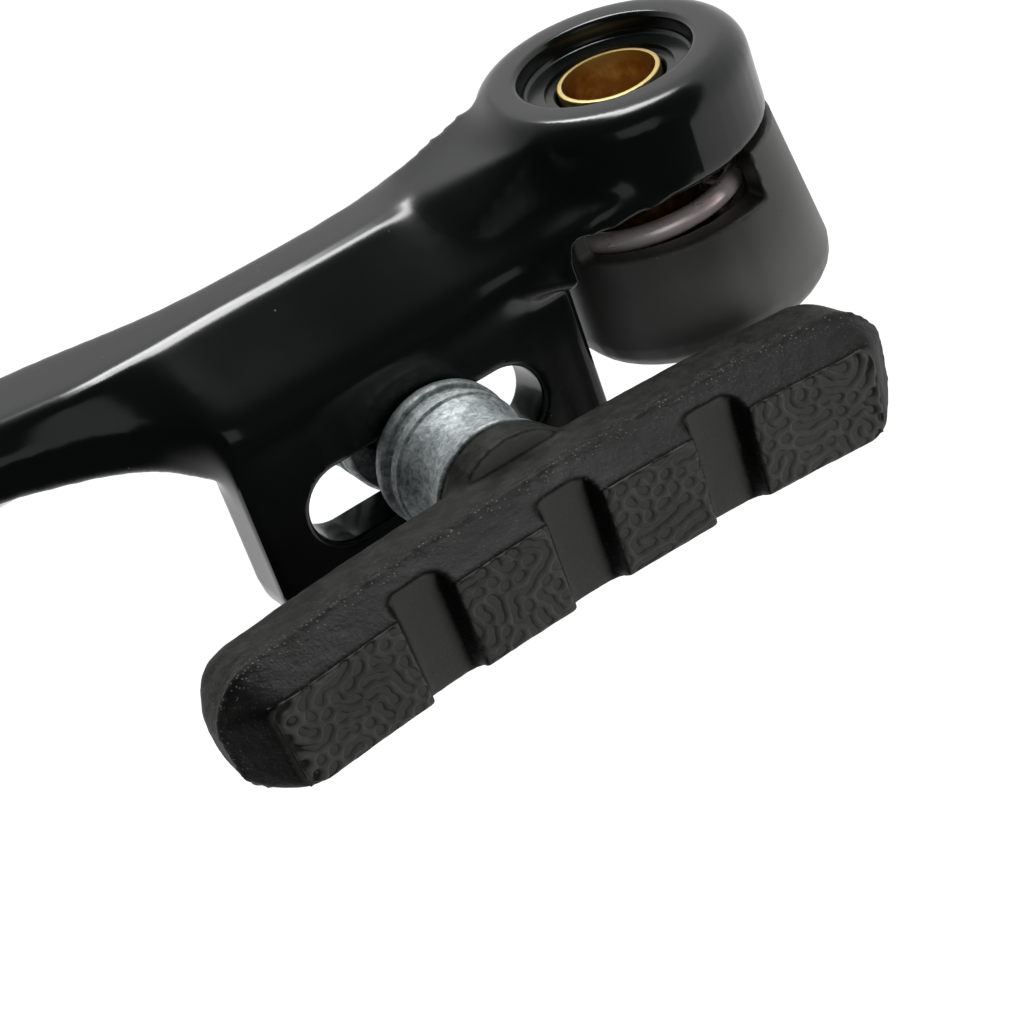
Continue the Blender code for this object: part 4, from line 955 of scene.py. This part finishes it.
def pad_place(along, out, across):
    """A point of the pad, along it, out towards the wheel and across it, as the solid is laid out."""
    y = STUD_Y + PAD_OFF_STUD + across + along**2 / (2 * PAD_BEND_R)
    z = STUD_Z + along * (1 - across / PAD_BEND_R)
    return np.stack([-out, y, z], 1)


def make_tread(index, start, end, seed):
    """The marked skin of one braking block, its rim let into the rubber."""
    half_long = (end - start) / 2 - SKIN_INSET
    half_wide = PAD_FACE_HALF - 0.02 * MM
    columns = round(2 * half_long / SKIN_GRID)
    rows = round(2 * half_wide / SKIN_GRID)
    work = bmesh.new()
    bmesh.ops.create_grid(work, x_segments=columns, y_segments=rows, size=1.0)
    rim = [e for e in work.edges if e.is_boundary]
    skirt = bmesh.ops.extrude_edge_only(work, edges=rim)["geom"]
    sunk = {g for g in skirt if isinstance(g, bmesh.types.BMVert)}
    bmesh.ops.contextual_create(work, geom=[g for g in skirt if isinstance(g, bmesh.types.BMEdge)])
    work.verts.index_update()
    flat = np.array([v.co for v in work.verts])
    below = np.array([v in sunk for v in work.verts])
    u = flat[:, 0] * half_long
    v = flat[:, 1] * half_wide
    marks = worm_marks(rows + 1, columns + 1, SKIN_GRID, MARK_SPACING, seed)
    i = np.clip(np.rint((flat[:, 1] + 1) / 2 * rows), 0, rows).astype(int)
    j = np.clip(np.rint((flat[:, 0] + 1) / 2 * columns), 0, columns).astype(int)
    relief = 0.5 + 0.5 * np.clip(marks[i, j], -1, 1)
    along = (start + end) / 2 + u
    at_pad_end = np.abs(along) > PAD_HALF_LONG - OUTER_BLOCK / 2
    corner = np.where(at_pad_end, SKIN_END_CORNER_R, SKIN_CORNER_R)
    past_u = np.maximum(np.abs(u) - half_long + corner, 0)
    past_v = np.maximum(np.abs(v) - half_wide + corner, 0)
    past = np.hypot(past_u, past_v)
    off_rim = fall(past, corner, SKIN_RIM_W)
    plateau = off_rim * (2 - off_rim)
    height = SKIN_RISE * plateau - MARK_DEPTH * (1 - relief) * np.clip(off_rim * 1.6, 0, 1)
    height -= SKIN_RIM_DROP * (1 - plateau) + 2 * np.maximum(past - corner, 0)
    height[below] = -SKIN_SUNK
    places = pad_place(along, height - PAD_FACE_X, v)
    for vert, place in zip(work.verts, places):
        vert.co = place
    tread = linked(f"tread_block_{index}", work)
    # The relief is stored for the tread material, whose painted shade darkens the marks.
    attribute = tread.data.attributes.new("relief", "FLOAT", "POINT")
    attribute.data.foreach_set("value", (relief * plateau).astype(np.float32))
    return show(tread, TREAD, "pad", smooth_deg=80)


def make_treads():
    """The four braking blocks' skins, with a groove between each two."""
    inner_start = GROOVE_W / 2
    inner_end = inner_start + INNER_BLOCK
    outer_start = inner_end + GROOVE_W
    outer_end = outer_start + OUTER_BLOCK
    spans = [(-outer_end, -outer_start), (-inner_end, -inner_start), (inner_start, inner_end),
             (outer_start, outer_end)]
    for index, (start, end) in enumerate(spans, 1):
        make_tread(index, start, end, seed=40 + index)


def aim_camera():
    """The photograph's view, from a fit to its eye, slot and pad."""
    camera = bpy.data.cameras.new("camera")
    camera.lens = 138.42
    camera.sensor_width = 36.0
    camera.clip_start = 0.01
    seat = bpy.data.objects.new("camera", camera)
    seat.location = (-0.27521, -0.167005, 0.129839)
    turn = [math.radians(a) for a in (-57.4994, 54.2974, 150.1015)]
    seat.rotation_euler = Euler(turn, "XYZ")
    bpy.context.scene.collection.objects.link(seat)
    bpy.context.scene.camera = seat


def soft_lamp(name, toward, away, size, watts, shows_in_gloss=True):
    """A softbox that looks at the object's middle from `away` metres off, in the direction `toward`."""
    place = LIT_MIDDLE + away * Vector(toward).normalized()
    lamp = bpy.data.lights.new(name, "AREA")
    lamp.shape = "RECTANGLE"
    lamp.size = size[0]
    lamp.size_y = size[1]
    lamp.energy = watts
    seat = bpy.data.objects.new(name, lamp)
    seat.location = place
    seat.rotation_euler = (LIT_MIDDLE - place).to_track_quat("-Z", "Y").to_euler()
    seat.visible_camera = False
    seat.visible_glossy = shows_in_gloss
    bpy.context.scene.collection.objects.link(seat)


def light_studio():
    """A softbox over the front lip, one on the pad's face that gloss doesn't show, and a weak one there."""
    soft_lamp("overhead_softbox", toward=(0.36, -0.87, -0.31), away=0.3, size=(0.2, 0.12), watts=1.3)
    soft_lamp("front_softbox", toward=(-0.9, -0.1, -0.35), away=0.5, size=(0.2, 0.2), watts=1.1,
              shows_in_gloss=False)
    soft_lamp("low_softbox", toward=(-0.913, -0.355, 0.203), away=0.5, size=(0.3, 0.3), watts=0.14)


def light_world():
    """White behind the object and to the camera, dim on the camera's side, as a dark room would be."""
    world = bpy.data.worlds.new("studio")
    bpy.context.scene.world = world
    world.use_nodes = True
    made = Graph(world.node_tree)
    made.tree.nodes.clear()
    direction = made.node("TexCoord", output="Generated")
    dark_side = Vector((-0.8, -0.3, 0.05)).normalized()
    both = {0: direction, 1: dark_side}
    facing = made.node("VectorMath", {"operation": "DOT_PRODUCT"}, both, output="Value")
    dark = facing.rise(-0.8, 0.2)
    path = made.node("LightPath", output="Is Camera Ray")
    glossy = made.node("LightPath", output="Is Glossy Ray")
    dim = 0.1 - 0.08 * glossy
    level = 1.0 - dark * (1.0 - dim)
    strength = path + (1 - path) * level
    shade = made.node("Background", None, {"Color": (1, 1, 1, 1), "Strength": strength})
    end = made.tree.nodes.new("ShaderNodeOutputWorld")
    made.feed(end.inputs["Surface"], shade)


def lay_floor():
    """A pale floor under and behind the object, square to the camera's view."""
    work = bmesh.new()
    down = Matrix.Translation((0, 0, -0.05))
    turn = Matrix.Rotation(math.atan2(0.5136, 0.7987), 4, "Z")
    back = Matrix.Translation((0.93, 0, 0))
    bmesh.ops.create_grid(work, x_segments=1, y_segments=1, size=1.0)
    bmesh.ops.transform(work, matrix=down @ turn @ back, verts=work.verts)
    floor = linked("floor", work)
    finish = Finish("pale_floor", (0.9, 0.9, 0.9), 0.8)
    path = finish.node("LightPath", output="Is Camera Ray")
    glossy = finish.node("LightPath", output="Is Glossy Ray")
    finish.set("Emission Color", (1, 1, 1, 1))
    finish.set("Emission Strength", 0.75 * path + 0.5 * glossy)
    finish.set("Roughness", 0.75 + 0.1 * finish.grain(60 * MM))
    floor.data.materials.append(finish.material)


make_arm()
make_housing()
make_bush()
make_small_steel()
make_sleeve()
make_spring()
make_stud()
make_anchor_bolt()
make_washers()
make_pad()
make_treads()
aim_camera()
light_studio()
light_world()
lay_floor()

bpy.context.scene.view_settings.view_transform = "Standard"
bpy.context.view_layer.update()
